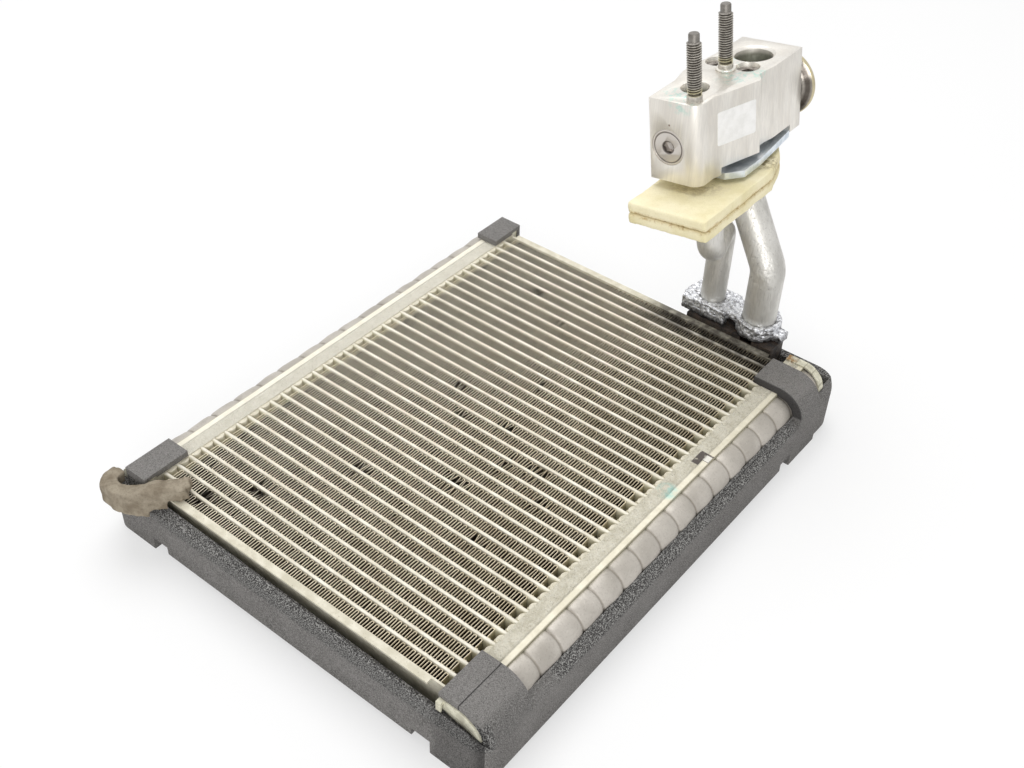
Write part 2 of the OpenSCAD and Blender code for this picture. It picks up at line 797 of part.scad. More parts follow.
module side_notches() {
    translate([tray_x1 - near_foot - notch_len, tray_y0 - cut, tray_bottom - cut])
        cube([notch_len, tray_wall + cut, notch_h + cut]);
    translate([tray_in_x, tray_y1 - side_foot_at - side_foot - notch_len, tray_bottom - cut])
        cube([tray_wall + cut, notch_len, notch_h + cut]);
}

// One moulding of black foam: walls, lip, four feet and four straps
module foam_frame() {
    color(foam_colour) in_core() {
        difference() {
            tray_prism(tray_bottom, -near_drop_left);
            tray_cavity();
            near_slope();
            far_slope();
            side_of(0) side_slope(left_drop, left_drop_out);
            side_of(1) side_slope(side_drop, side_drop_out);
            for (side = [0, 1]) side_of(side) {
                cap_pockets(side);
                side_notches();
            }
        }
        intersection() {
            tray_prism(floor_z, tray_bottom);
            difference() {
                for (side = [0, 1]) side_of(side) side_feet();
                translate([0, near_face, floor_z - cut])
                    cube([tube_len, far_face - near_face, foot_h + 2 * cut]);
            }
        }
        intersection() {
            tray_prism(lip_top - cut, tab_top);
            union() {
                side_of(0) left_tabs();
                side_of(1) right_tabs();
            }
        }
    }
}

// Places a side's pieces inside the core's axes: 0 is the left side, 1 the right
module side_of(side) {
    translate([side * tube_len, 0, 0]) mirror([1 - side, 0, 0]) children();
}

// A loose strip of sponge, laid over the near left corner
module sponge_strip() {
    last = len(strip_points) - 1;
    color(sponge_colour) in_core() difference() {
        translate([0, 0, -strip_down]) linear_extrude(strip_down + strip_up) polygon(concat(
            [for (i = [0 : last]) beside(strip_points, i, strip_t / 2)],
            [for (i = [last : -1 : 0]) beside(strip_points, i, -strip_t / 2)]
        ));
        translate([-tray_x1, near_edge - soft_gap, -strip_down - cut])
            cube([tube_len, core_len, strip_down + soft_gap + cut]);
        translate([-tray_x1, tray_y0 - soft_gap, -strip_down - cut])
            cube([tube_len, core_len, strip_down - near_drop_left + soft_gap + cut]);
        // The top slopes down towards the far end
        along_y(strip_points[last - 2][1] - strip_t, strip_points[0][1] + strip_t) polygon([
            [strip_points[0][0] + strip_t, strip_up],
            [strip_points[last][0] - strip_t, strip_low - cut],
            [strip_points[last][0] - strip_t, strip_up + cut],
            [strip_points[0][0] + strip_t, strip_up + cut]
        ]);
    }
}

// A round bar along a route of points, bent at each point between its ends
module bent_bar(points, r, bend) {
    for (i = [0 : len(points) - 2]) {
        step = points[i + 1] - points[i];
        way = unit(step);
        before = i == 0 ? 0 : trim(points, i, bend) - bend_lap;
        after = i == len(points) - 2 ? 0 : trim(points, i + 1, bend) - bend_lap;
        translate(points[i] + way * before) rotate([0, acos(way[2]), atan2(way[1], way[0])])
            rotate(seam_turn) cylinder(r = r, h = norm(step) - before - after);
    }
    for (i = [1 : len(points) - 2]) {
        way = unit(points[i] - points[i - 1]);
        next = unit(points[i + 1] - points[i]);
        inward = unit(next - way * (next * way));
        middle = points[i] - way * trim(points, i, bend) + inward * bend;
        side = cross(-inward, way);
        multmatrix([
            [-inward[0], way[0], side[0], middle[0]],
            [-inward[1], way[1], side[1], middle[1]],
            [-inward[2], way[2], side[2], middle[2]],
            [0, 0, 0, 1]
        ]) rotate_extrude(angle = turn(points, i)) translate([bend, 0]) circle(r + bend_swell);
    }
}

// The route of a pipe from its seat in the connector to its socket in the valve block,
// with both ends drawn out by extra
function pipe_route(foot_x, knee, port, drop, extra) = [
    [foot_x, pipe_y, conn_top - seat_d - extra],
    [foot_x, pipe_y, knee],
    from_valve([port[0], port[1], -drop]),
    from_valve([port[0], port[1], hollow_top + pipe_insert + extra])
];

// A pipe with the bead that the retaining plate holds in the valve's hollow
module pipe(foot_x, knee, port, drop, d, bend) {
    color(pipe_colour) difference() {
        union() {
            in_core() bent_bar(pipe_route(foot_x, knee, port, drop, 0), d / 2, bend);
            in_valve() translate([port[0], port[1], keeper_top])
                cylinder(r = d / 2 + bead_out, h = hollow_top - keeper_top);
        }
        in_core() bent_bar(pipe_route(foot_x, knee, port, drop, cut), d / 2 - pipe_wall, bend);
    }
}

module liquid_pipe() {
    pipe(liquid_x, liquid_knee, liquid_in_at, liquid_drop, liquid_d, liquid_bend);
}

module suction_pipe() {
    pipe(suction_x, suction_knee, suction_out_at, suction_drop, suction_d, suction_bend);
}

// Block, boss, web and lugs in one piece, with a stepped seat for each pipe
module connector_block() {
    block_x = liquid_x - conn_block_w / 2;
    color(braze_colour) in_core() difference() {
        union() {
            translate([block_x, pipe_y - conn_block_l / 2, conn_bottom])
                cube([conn_block_w, conn_block_l, conn_t]);
            translate([suction_x, pipe_y, conn_bottom]) cylinder(r = conn_boss_r, h = conn_t);
            translate([liquid_x, pipe_y - conn_web_w / 2, conn_top - conn_web_t])
                cube([suction_x - liquid_x, conn_web_w, conn_web_t]);
            translate([block_x - lug_left, pipe_y - lug_w / 2, conn_top - lug_low - lug_t])
                cube([lug_left + cut, lug_w, lug_t]);
            translate([suction_x + conn_boss_r - cut, pipe_y - lug_w / 2, conn_bottom])
                cube([lug_right + cut, lug_w, lug_t]);
        }
        for (p = [[liquid_x, liquid_d / 2], [suction_x, suction_d / 2]])
            translate([p[0], pipe_y, 0]) {
                translate([0, 0, conn_top - seat_d]) cylinder(r = p[1] + slot_gap, h = seat_d + cut);
                translate([0, 0, conn_bottom - cut])
                    cylinder(r = p[1] - pipe_wall, h = conn_t + cut);
            }
    }
}

// A brazed box channel that leads from the connector along the far side plate
module manifold_duct() {
    color(soot_colour) in_core() translate([duct_x, far_edge, conn_bottom - duct_h])
        difference() {
            cube([duct_l, duct_w, duct_h]);
            translate([duct_wall, duct_wall, duct_wall])
                cube([duct_l - 2 * duct_wall, duct_w - 2 * duct_wall, duct_h - 2 * duct_wall]);
            for (p = [[liquid_x, liquid_d / 2], [suction_x, suction_d / 2]])
                translate([p[0] - duct_x, duct_w / 2, duct_h - duct_wall - cut])
                    cylinder(r = p[1] - pipe_wall, h = duct_wall + 2 * cut);
        }
}

// Plan of the seal, cut slantwise at its far right end
module seal_plan() {
    x0 = -seal_left;
    x1 = x0 + seal_w;
    y0 = -seal_near;
    y1 = y0 + seal_l;
    difference() {
        polygon([
            [x0, y0],
            [x1, y0],
            [x1, y1 - 2 * seal_slant],
            [x1 - seal_slant / 3, y1 - seal_slant],
            [x1 - seal_slant, y1],
            [x0, y1]
        ]);
        translate(liquid_in_at) circle(liquid_d / 2 + soft_gap);
        translate(suction_out_at) circle(suction_d / 2 + soft_gap);
    }
}

module seal_upper() {
    color(seal_colour) in_valve() translate([0, 0, seal_top - seal_upper_t])
        linear_extrude(seal_upper_t) seal_plan();
}

module seal_lower() {
    color(seal_colour) in_valve()
        translate([0, 0, seal_top - seal_upper_t - soft_gap - seal_lower_t])
            linear_extrude(seal_lower_t) seal_plan();
}

// The zinced plate that clamps both pipes' beads into the valve's hollow
module retaining_plate() {
    x1 = valve_w + keeper_out;
    y0 = hollow_start + keeper_gap;
    y1 = hollow_end - keeper_gap;
    color(zinc_colour) in_valve() translate([0, 0, keeper_top - keeper_t])
        linear_extrude(keeper_t) difference() {
            polygon([
                [keeper_gap, y0],
                [x1 - 2 * keeper_out, y0],
                [x1, y0 + 2 * keeper_out],
                [x1, liquid_in_at[1] + liquid_d],
                [valve_w, y1],
                [keeper_gap, y1]
            ]);
            translate(liquid_in_at) circle(liquid_d / 2 + valve_gap);
            translate(suction_out_at) circle(suction_d / 2 + valve_gap);
            for (p = screw_at) translate(p) circle(screw_r - valve_gap);
        }
}

// Plan of the valve block: a boss round the first stud, a slanting panel, a neck at the
// screws and a square far end, with a swelling on the left beside the second stud
module valve_plan() {
    near = stud_at[0];
    far = stud_at[1];
    x1 = valve_w;
    y1 = panel_end;
    polygon([
        [0, 0],
        [near[0], 0],
        [near[0] + boss_r, near[1]],
        [near[0] + boss_r - valve_gap, panel_start],
        [x1 + panel_out, y1],
        [x1 + panel_out / 2, y1 + panel_out],
        [x1 - panel_out / 2, y1 + 2 * panel_out],
        [x1 - panel_out / 2, y1 + 4 * panel_out],
        [x1, y1 + 7 * panel_out],
        [x1, valve_l],
        [0, valve_l],
        [0, far[1] + 7 * swell_out],
        [-swell_out / 2, far[1] + 2 * swell_out],
        [-swell_out, far[1] - 2 * swell_out],
        [-swell_out, far[1] - 4 * swell_out],
        [0, far[1] - 8 * swell_out]
    ]);
    translate(near) circle(boss_r);
}

module valve_body() {
    color(block_colour) in_valve() difference() {
        translate([0, 0, -valve_h]) linear_extrude(valve_h) valve_plan();
        // Ports in the top, each with its throat
        translate([small_port_at[0], small_port_at[1], -port_depth]) {
            cylinder(r = liquid_port_r, h = port_depth + cut);
            translate([0, 0, -port_depth]) cylinder(r = passage_r, h = port_depth + cut);
        }
        translate([large_port_at[0], large_port_at[1], -port_depth])
            cylinder(r = suction_port_r, h = port_depth + cut);
        translate([large_port_at[0], large_port_at[1], -port_chamfer])
            cylinder(r1 = suction_port_r, r2 = suction_port_r + 2 * port_chamfer,
                     h = 2 * port_chamfer);
        translate([suction_out_at[0], suction_out_at[1], hollow_top + pipe_insert - cut])
            cylinder(r = suction_d / 2 - pipe_wall,
                     h = -hollow_top - pipe_insert - port_depth + 2 * cut);
        // Screw recesses and screw holes
        for (p = screw_at) translate([p[0], p[1], 0]) {
            translate([0, 0, -screw_recess_d]) cylinder(r = screw_recess_r, h = screw_recess_d + cut);
            translate([0, 0, -valve_h - cut]) cylinder(r = screw_r, h = valve_h + cut);
        }
        // Stud holes
        for (p = stud_at) translate([p[0], p[1], -stud_depth])
            cylinder(r = stud_shank_r, h = stud_depth + cut);
        // Underside: hollow for the retaining plate, sockets for the pipes
        translate([-swell_out - cut, hollow_start, -valve_h - cut])
            cube([valve_w + swell_out + panel_out + 2 * cut, hollow_end - hollow_start, hollow_h + cut]);
        translate([liquid_in_at[0], liquid_in_at[1], hollow_top - cut]) {
            cylinder(r = liquid_d / 2 + valve_gap, h = pipe_insert + cut);
            cylinder(r = passage_r, h = -hollow_top - plug_down + cut);
        }
        translate([suction_out_at[0], suction_out_at[1], hollow_top - cut])
            cylinder(r = suction_d / 2 + valve_gap, h = pipe_insert + cut);
        // Chamber behind the plug
        translate([plug_x, -cut, -plug_down]) rotate([-90, 0, 0]) {
            cylinder(r = plug_r + valve_gap, h = cut + plug_l + 4 * valve_gap);
            cylinder(r = chamber_r, h = cut + plug_l + chamber_l);
        }
    }
}

// The adjusting plug in the near face, with its hexagon socket
module valve_plug() {
    color(block_colour) in_valve() translate([plug_x, 4 * valve_gap, -plug_down])
        rotate([-90, 0, 0]) difference() {
            cylinder(r = plug_r, h = plug_l);
            translate([0, 0, -cut]) cylinder(d = plug_hex, h = plug_l / 2 + cut, $fn = 6);
        }
}

// Two pressed shells welded at the rim, on a short neck against the far face
module power_head() {
    rim_top = head_rim + head_rim_t;
    crown = (rim_top + head_l) / 2;
    tip_r = head_crown_r / 3;
    color(brass_colour) in_valve() translate([head_x, valve_l, -head_down])
        rotate([-90, 0, 0]) rotate_extrude() polygon([
            [0, 0],
            [head_neck_r, 0],
            [head_neck_r, head_rim / 2],
            [head_r, head_rim],
            [head_r, rim_top],
            [head_crown_r, crown],
            [tip_r, crown + tip_r / 4],
            [tip_r, head_l],
            [0, head_l]
        ]);
}

module stud() {
    taper = stud_r - dog_r;
    translate([0, 0, -stud_depth]) cylinder(r = stud_shank_r, h = stud_depth + stud_shank);
    translate([0, 0, stud_shank]) cylinder(r = stud_r, h = stud_thread - taper);
    translate([0, 0, stud_shank + stud_thread - taper]) cylinder(r1 = stud_r, r2 = dog_r, h = taper);
    translate([0, 0, stud_shank + stud_thread]) cylinder(r = dog_r, h = dog_l);
}

module studs() {
    color(stud_colour) in_valve() for (p = stud_at) translate([p[0], p[1], 0]) stud();
}

// A socket screw down through the valve block into the retaining plate
module valve_screws() {
    color(stud_colour) in_valve() for (p = screw_at)
        translate([p[0], p[1], -screw_recess_d]) difference() {
            union() {
                cylinder(r = screw_recess_r - soft_gap, h = screw_head_t);
                translate([0, 0, keeper_top - keeper_t + screw_recess_d])
                    cylinder(r = screw_r - valve_gap, h = -keeper_top + keeper_t - screw_recess_d + cut);
            }
            translate([0, 0, screw_head_t / 3])
                cylinder(r = screw_recess_r / 2, h = screw_head_t + cut, $fn = 6);
        }
}

for (i = [1 : tube_count]) {
    flat_tube(i);
}
fins();
near_side_plate();
far_side_plate();
left_header_plate();
right_header_plate();
left_tank();
right_tank();
end_cap_near_left();
end_cap_near_right();
end_cap_far_left();
end_cap_far_right();
foam_frame();
sponge_strip();
manifold_duct();
connector_block();
liquid_pipe();
suction_pipe();
seal_lower();
seal_upper();
retaining_plate();
valve_body();
valve_plug();
power_head();
studs();
valve_screws();
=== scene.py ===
import math
import bpy
import numpy as np
from mathutils import Matrix, Vector, noise


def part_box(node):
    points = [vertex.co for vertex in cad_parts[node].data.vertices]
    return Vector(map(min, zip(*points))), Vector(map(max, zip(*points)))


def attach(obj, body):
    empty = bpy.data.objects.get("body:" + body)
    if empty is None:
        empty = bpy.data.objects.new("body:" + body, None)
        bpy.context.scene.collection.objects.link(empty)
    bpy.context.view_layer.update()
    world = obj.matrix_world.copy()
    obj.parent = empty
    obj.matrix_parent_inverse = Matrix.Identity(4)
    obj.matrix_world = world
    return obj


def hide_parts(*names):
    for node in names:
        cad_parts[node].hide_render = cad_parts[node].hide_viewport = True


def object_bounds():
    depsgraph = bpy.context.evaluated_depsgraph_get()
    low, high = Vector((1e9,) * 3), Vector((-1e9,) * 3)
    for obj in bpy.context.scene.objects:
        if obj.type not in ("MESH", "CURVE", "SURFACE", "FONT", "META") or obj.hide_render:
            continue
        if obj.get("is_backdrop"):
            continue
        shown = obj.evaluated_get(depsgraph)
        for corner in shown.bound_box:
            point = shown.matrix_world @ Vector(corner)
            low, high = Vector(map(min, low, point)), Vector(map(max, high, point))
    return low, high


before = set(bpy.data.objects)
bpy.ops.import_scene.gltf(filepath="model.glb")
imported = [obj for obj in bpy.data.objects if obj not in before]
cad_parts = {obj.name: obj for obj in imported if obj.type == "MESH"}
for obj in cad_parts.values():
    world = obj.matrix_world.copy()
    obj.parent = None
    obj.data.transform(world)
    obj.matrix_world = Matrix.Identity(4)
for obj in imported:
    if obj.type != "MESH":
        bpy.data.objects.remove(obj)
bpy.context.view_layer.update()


# Camera. It stands in front of the near right corner and above it, and looks back
# across the core at the valve. Core millimetres run along the tubes, across them and up.
MM = 0.001
X, Y, Z = 0, 1, 2
ORIGIN = (80.0, 123.1, -33.0)


def at_core(x, y, z):
    """A point given in the core's millimetres."""
    return Vector(((x - ORIGIN[X]) * MM, (y - ORIGIN[Y]) * MM, (z - ORIGIN[Z]) * MM))


def on_axis(number, place):
    """A place along one of the core's axes, given in the core's millimetres."""
    return (place - ORIGIN[number]) * MM


lens = bpy.data.cameras.new("photo_camera")
lens.lens = 44.72
lens.sensor_width = 36.0
lens.clip_start = 0.01
lens.clip_end = 20.0
camera = bpy.data.objects.new("photo_camera", lens)
bpy.context.scene.collection.objects.link(camera)
look = Vector((-0.46122, 0.59971, -0.65393)).normalized()
over = Vector((-0.42468, 0.49789, 0.75614))
right = look.cross(over).normalized()
over = right.cross(look).normalized()
camera.matrix_world = Matrix((
    (right.x, over.x, -look.x, 0.2574),
    (right.y, over.y, -look.y, -0.3231),
    (right.z, over.z, -look.z, 0.4063),
    (0.0, 0.0, 0.0, 1.0),
))
bpy.context.scene.camera = camera


# Flat tubes. Extruded aluminium, brazed in a furnace, which left a dull cream bloom of
# flux on their edges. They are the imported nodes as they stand, so they only get a finish.
class Tone:
    """A value or colour on its way through a finish, which can be used in sums."""

    def __init__(self, finish, socket):
        self.finish = finish
        self.socket = socket

    def reckon(self, operation, first, second):
        return self.finish.add("ShaderNodeMath", {"operation": operation}, {0: first, 1: second})

    def __add__(self, other):
        return self.reckon("ADD", self, other)

    def __radd__(self, other):
        return self.reckon("ADD", other, self)

    def __sub__(self, other):
        return self.reckon("SUBTRACT", self, other)

    def __rsub__(self, other):
        return self.reckon("SUBTRACT", other, self)

    def __mul__(self, other):
        return self.reckon("MULTIPLY", self, other)

    def __rmul__(self, other):
        return self.reckon("MULTIPLY", other, self)

    def __truediv__(self, other):
        return self.reckon("DIVIDE", self, other)

    def __gt__(self, other):
        return self.reckon("GREATER_THAN", self, other)

    def __lt__(self, other):
        return self.reckon("LESS_THAN", self, other)

    def __abs__(self):
        return self.reckon("ABSOLUTE", self, 0.0)

    def capped(self, other):
        return self.reckon("MINIMUM", self, other)

    def least(self, other):
        return self.reckon("MAXIMUM", self, other)

    def wrapped(self, other):
        return self.reckon("FLOORED_MODULO", self, other)


class Finish:
    """A surface finish: a Principled shader and the nodes that feed it."""

    def __init__(self, name):
        self.material = bpy.data.materials.new(name)
        self.material.use_nodes = True
        self.tree = self.material.node_tree
        self.shader = next(n for n in self.tree.nodes if n.type == "BSDF_PRINCIPLED")
        self.where = None

    def add(self, kind, settings, inputs, out=0):
        node = self.tree.nodes.new(kind)
        for key, value in settings.items():
            setattr(node, key, value)
        for key, value in inputs.items():
            if isinstance(value, Tone):
                self.tree.links.new(value.socket, node.inputs[key])
            else:
                node.inputs[key].default_value = value
        return Tone(self, node.outputs[out])

    def place(self):
        if self.where is None:
            self.where = self.add("ShaderNodeTexCoord", {}, {}, "Object")
        return self.where

    def moved(self, shift=(0, 0, 0), turn=(0, 0, 0), stretch=(1, 1, 1)):
        return self.add("ShaderNodeMapping", {"vector_type": "POINT"}, {
            "Vector": self.place(), "Location": shift, "Rotation": turn, "Scale": stretch})

    def grain(self, size_mm, detail=3.0, rough=0.55, stretch=(1, 1, 1)):
        spot = self.moved(stretch=stretch)
        return self.add("ShaderNodeTexNoise", {"noise_dimensions": "3D"}, {
            "Vector": spot, "Scale": 1000.0 / size_mm, "Detail": detail, "Roughness": rough})

    def span(self, value, low, high, to_low=0.0, to_high=1.0):
        return self.add("ShaderNodeMapRange", {"clamp": True, "interpolation_type": "SMOOTHSTEP"}, {
            "Value": value, "From Min": low, "From Max": high, "To Min": to_low, "To Max": to_high})

    def axis(self, number):
        parts = self.tree.nodes.new("ShaderNodeSeparateXYZ")
        self.tree.links.new(self.place().socket, parts.inputs[0])
        return Tone(self, parts.outputs[number])

    def past(self, number, low, high):
        """Rises from 0 to 1 between two places along an axis, in the core's millimetres."""
        return self.span(self.axis(number), on_axis(number, low), on_axis(number, high))

    def before(self, number, low, high):
        """Falls from 1 to 0 between two places along an axis."""
        return 1.0 - self.past(number, low, high)

    def outwards(self, low, high, number=X):
        """Rises from 0 to 1 between two places, and in the same way on the middle's other side."""
        return self.span(abs(self.axis(number)), on_axis(number, low), on_axis(number, high))

    def blend(self, share, first, second):
        return self.add("ShaderNodeMix", {"data_type": "RGBA", "clamp_factor": True}, {
            0: share, 6: first, 7: second}, 2)

    def away(self, spot):
        return self.add("ShaderNodeVectorMath", {"operation": "DISTANCE"}, {
            0: self.place(), 1: tuple(spot)}, "Value")

    def near(self, spot, reach_mm, soft_mm=1.0):
        return self.span(self.away(spot), (reach_mm - soft_mm) * MM, (reach_mm + soft_mm) * MM, 1.0, 0.0)

    def relief(self, height, depth_mm, strength=1.0):
        return self.add("ShaderNodeBump", {}, {
            "Height": height, "Distance": depth_mm * MM, "Strength": strength}, "Normal")

    def close(self, **inputs):
        names = {"colour": "Base Color", "rough": "Roughness", "metal": "Metallic",
                 "normal": "Normal", "shine": "Specular IOR Level"}
        for key, value in inputs.items():
            socket = self.shader.inputs[names[key]]
            if isinstance(value, Tone):
                self.tree.links.new(value.socket, socket)
            else:
                socket.default_value = value
        return self.material


def paint(red, green, blue):
    """A colour as it is read off a screen, turned into light."""
    def light(value):
        value = value / 255.0
        return value / 12.92 if value <= 0.04045 else ((value + 0.055) / 1.055) ** 2.4
    return (light(red), light(green), light(blue), 1.0)


def dress(piece, finish):
    piece.data.materials.clear()
    piece.data.materials.append(finish)


def connector_shade_of(finish):
    """Where painted shade lies: beside and below the connector."""
    patchy = finish.span(finish.grain(5.0, 4.0, 0.6), 0.30, 0.62)
    return finish.past(X, 78, 100) * finish.past(Y, 216, 229) * (0.55 + 0.45 * patchy)


tube_step = 6.5
tube_count = 35
tube_finish = Finish("tube_flux")
bloom = tube_finish.span(tube_finish.grain(7.0, 4.0, 0.6), 0.35, 0.72)
specks = tube_finish.span(tube_finish.grain(0.9, 2.0, 0.6), 0.64, 0.74)
across = (tube_finish.axis(Y) - at_core(0, tube_step / 2, 0).y).wrapped(tube_step * MM)
rounded = tube_finish.span(abs(across - tube_step * MM / 2), 0.45 * MM, 0.86 * MM, 1.0, 0.0)
# Painted shade: below their cream tops the tubes' sides are painted dark, and the tops' edges partly so;
# near the headers the sides are painted lighter instead, as painted light
top = tube_finish.past(Z, -1.6, -0.2)
cream = tube_finish.blend(bloom, paint(222, 216, 199), paint(241, 237, 224))
cream = tube_finish.blend(specks * 0.4, cream, paint(150, 142, 120))
ends = tube_finish.outwards(153.0, 155.5)
side = tube_finish.blend(ends, paint(110, 101, 78), paint(214, 209, 186))
cream = tube_finish.blend(top * (0.35 + 0.65 * rounded), side, cream)
# Painted shade beside and below the connector
cream = tube_finish.blend(connector_shade_of(tube_finish) * 0.86, cream, paint(44, 36, 30))
tube_dull = tube_finish.close(
    colour=cream, rough=0.62, metal=0.15,
    normal=tube_finish.relief(tube_finish.grain(0.7, 3.0), 0.08, 0.6))
for number in range(1, tube_count + 1):
    dress(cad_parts[f"tube_{number:02d}"], tube_dull)


# Fins. Thin aluminium foil, folded to and fro between two tubes and brazed at each fold.
# One fold is drawn and repeated along the row, and the row is copied into every gap.
fin_pitch = 1.27
fin_low = -26.4
fin_knee = -3.6
fin_top = -0.6
fin_from = 3.8
row_from = 0.92
row_gap = 4.66
row_count = tube_count + 1
fold_count = 60
foil_drawn = 0.26
turn_low = 0.35
turn_high = 4.25
turn_run = 0.28


def only(piece):
    bpy.ops.object.select_all(action="DESELECT")
    piece.select_set(True)
    bpy.context.view_layer.objects.active = piece


def applied(piece, kind, **settings):
    """Adds a modifier with its settings and applies it."""
    only(piece)
    modifier = piece.modifiers.new(kind.lower(), kind)
    for key, value in settings.items():
        setattr(modifier, key, value)
    bpy.ops.object.modifier_apply(modifier=modifier.name)


def settle(piece, name):
    """Puts the place and size of a piece into its mesh and names it."""
    only(piece)
    bpy.ops.object.transform_apply(location=True, rotation=True, scale=True)
    piece.name = name
    piece.data.name = name


def fit(piece, body_slot, *nodes):
    """The piece rides on the part and stands for the nodes named."""
    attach(piece, "root")
    if nodes:
        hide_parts(*nodes)


def points_of(piece):
    spots = np.empty(len(piece.data.vertices) * 3, np.float64)
    piece.data.vertices.foreach_get("co", spots)
    return spots.reshape(-1, 3)


def in_core(spots):
    """An array of points in the core's millimetres."""
    return spots / MM + np.array(ORIGIN)


def noise_over(spots_x, spots_y, step_x, step_y, level):
    return np.array([
        noise.noise(Vector((x * step_x, y * step_y, level))) for x, y in zip(spots_x, spots_y)])


def move_points(piece, spots):
    piece.data.vertices.foreach_set("co", np.asarray(spots, np.float64).ravel())
    piece.data.update()


fold = [(0.0, turn_low), (0.0, turn_high), (turn_run, row_gap), (fin_pitch - turn_run, row_gap),
        (fin_pitch, turn_high), (fin_pitch, turn_low), (fin_pitch + turn_run, 0.0),
        (2 * fin_pitch - turn_run, 0.0), (2 * fin_pitch, turn_low)]
levels = [fin_low, fin_knee, fin_top]
bpy.ops.mesh.primitive_grid_add(x_subdivisions=len(fold) - 1, y_subdivisions=len(levels) - 1, size=1.0)
fins = bpy.context.object
spots = points_of(fins)
columns = np.round((spots[:, 0] + 0.5) * (len(fold) - 1)).astype(int)
rows = np.round((spots[:, 1] + 0.5) * (len(levels) - 1)).astype(int)
drawn = [at_core(fin_from + fold[c][0], row_from + fold[c][1], levels[r]) for c, r in zip(columns, rows)]
move_points(fins, [tuple(p) for p in drawn])
settle(fins, "fin_folds")
applied(fins, "ARRAY", count=fold_count, use_relative_offset=False, use_constant_offset=True,
        constant_offset_displace=(2 * fin_pitch * MM, 0, 0), use_merge_vertices=True,
        merge_threshold=0.00002)
applied(fins, "ARRAY", count=row_count, use_relative_offset=False, use_constant_offset=True,
        constant_offset_displace=(0, tube_step * MM, 0))
# Rows wander a little, and in some patches the upper edges are knocked over
bent = [(36, 26, 5), (33, 14, 4), (60, 60, 5), (95, 80, 7), (104, 101, 6), (118, 107, 7),
        (70, 112, 5), (57, 128, 6), (122, 60, 5), (84, 150, 4), (40, 205, 5), (62, 193, 4),
        (24, 8, 6), (128, 92, 5), (90, 118, 5)]
spots = points_of(fins)
flat_x, flat_y, flat_z = in_core(spots).T
upper = flat_z > -1.0
row_number = np.floor(flat_y / tube_step)
sway = np.sin(flat_x * 0.21 + row_number * 1.7) * 0.16
sway = sway + np.sin(flat_x * 0.093 + row_number * 2.9) * 0.2
spots[:, 0] += sway * MM
knock = np.zeros(len(spots))
for bent_x, bent_y, reach in bent:
    away = np.hypot(flat_x - bent_x, (flat_y - bent_y) * 1.2) / reach
    knock = np.maximum(knock, np.clip(1.25 - away, 0, 1))
shake = noise_over(flat_x[upper], flat_y[upper], 0.9, 1.4, 3.0)
spots[upper, 0] += shake * knock[upper] * 1.9 * MM
spots[upper, 2] -= np.abs(shake) * knock[upper] * 1.3 * MM
fine = noise_over(flat_x[upper], flat_y[upper], 2.3, 0.6, 9.0)
spots[upper, 0] += fine * 0.26 * MM
spots[upper, 2] -= np.abs(fine) * 0.3 * MM
move_points(fins, spots)
applied(fins, "SOLIDIFY", thickness=foil_drawn * MM, offset=0.0)
fin_finish = Finish("fin_foil")
# Painted shade: the foil is dark below a painted lit upper edge, which is narrower to the left, where it is
# paler
left = fin_finish.before(X, 5, 135)
dark_below = left * (0.7 * MM) + at_core(0, 0, -1.6).z
light_above = left * (0.08 * MM) + at_core(0, 0, -0.75).z
deep = fin_finish.span(fin_finish.axis(Z), dark_below, light_above)
mottle = fin_finish.span(fin_finish.grain(9.0, 4.0, 0.6), 0.3, 0.7)
# Near the headers the shaded foil is painted lighter, as painted light
ends = fin_finish.outwards(154.2, 155.4)
foil = fin_finish.blend(mottle, paint(188, 174, 146), paint(220, 208, 182))
foil = fin_finish.blend(left * 0.7, foil, paint(246, 238, 216))
shade = fin_finish.blend(ends, paint(36, 29, 20), paint(186, 177, 148))
foil = fin_finish.blend(deep, shade, foil)
# Painted shade beside and below the connector
foil = fin_finish.blend(connector_shade_of(fin_finish) * 0.93, foil, paint(34, 28, 24))
dress(fins, fin_finish.close(colour=foil, rough=0.5, metal=0.35))
fit(fins, "fin", "fins")


# Side plates. Folded aluminium channels that close the core at both ends. They keep the
# imported shape and get the cream of the flux, with pits and painted shade by the connector.
plate_finish = Finish("plate_flux")
patch = plate_finish.span(plate_finish.grain(6.0, 4.0, 0.6), 0.35, 0.7)
pit = plate_finish.span(plate_finish.grain(0.8, 3.0, 0.6), 0.63, 0.72)
chalk = plate_finish.blend(patch, paint(204, 198, 178), paint(228, 223, 206))
chalk = plate_finish.blend(pit * 0.5, chalk, paint(120, 112, 88))
# Painted shade beside and below the connector
chalk = plate_finish.blend(connector_shade_of(plate_finish) * 0.9, chalk, paint(40, 33, 27))
lumps = plate_finish.grain(2.2, 4.0, 0.7)
plate_rough = plate_finish.close(
    colour=chalk, rough=0.66, metal=0.1, normal=plate_finish.relief(lumps, 0.45, 0.7))
for name in ("near_side_plate", "far_side_plate"):
    dress(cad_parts[name], plate_rough)


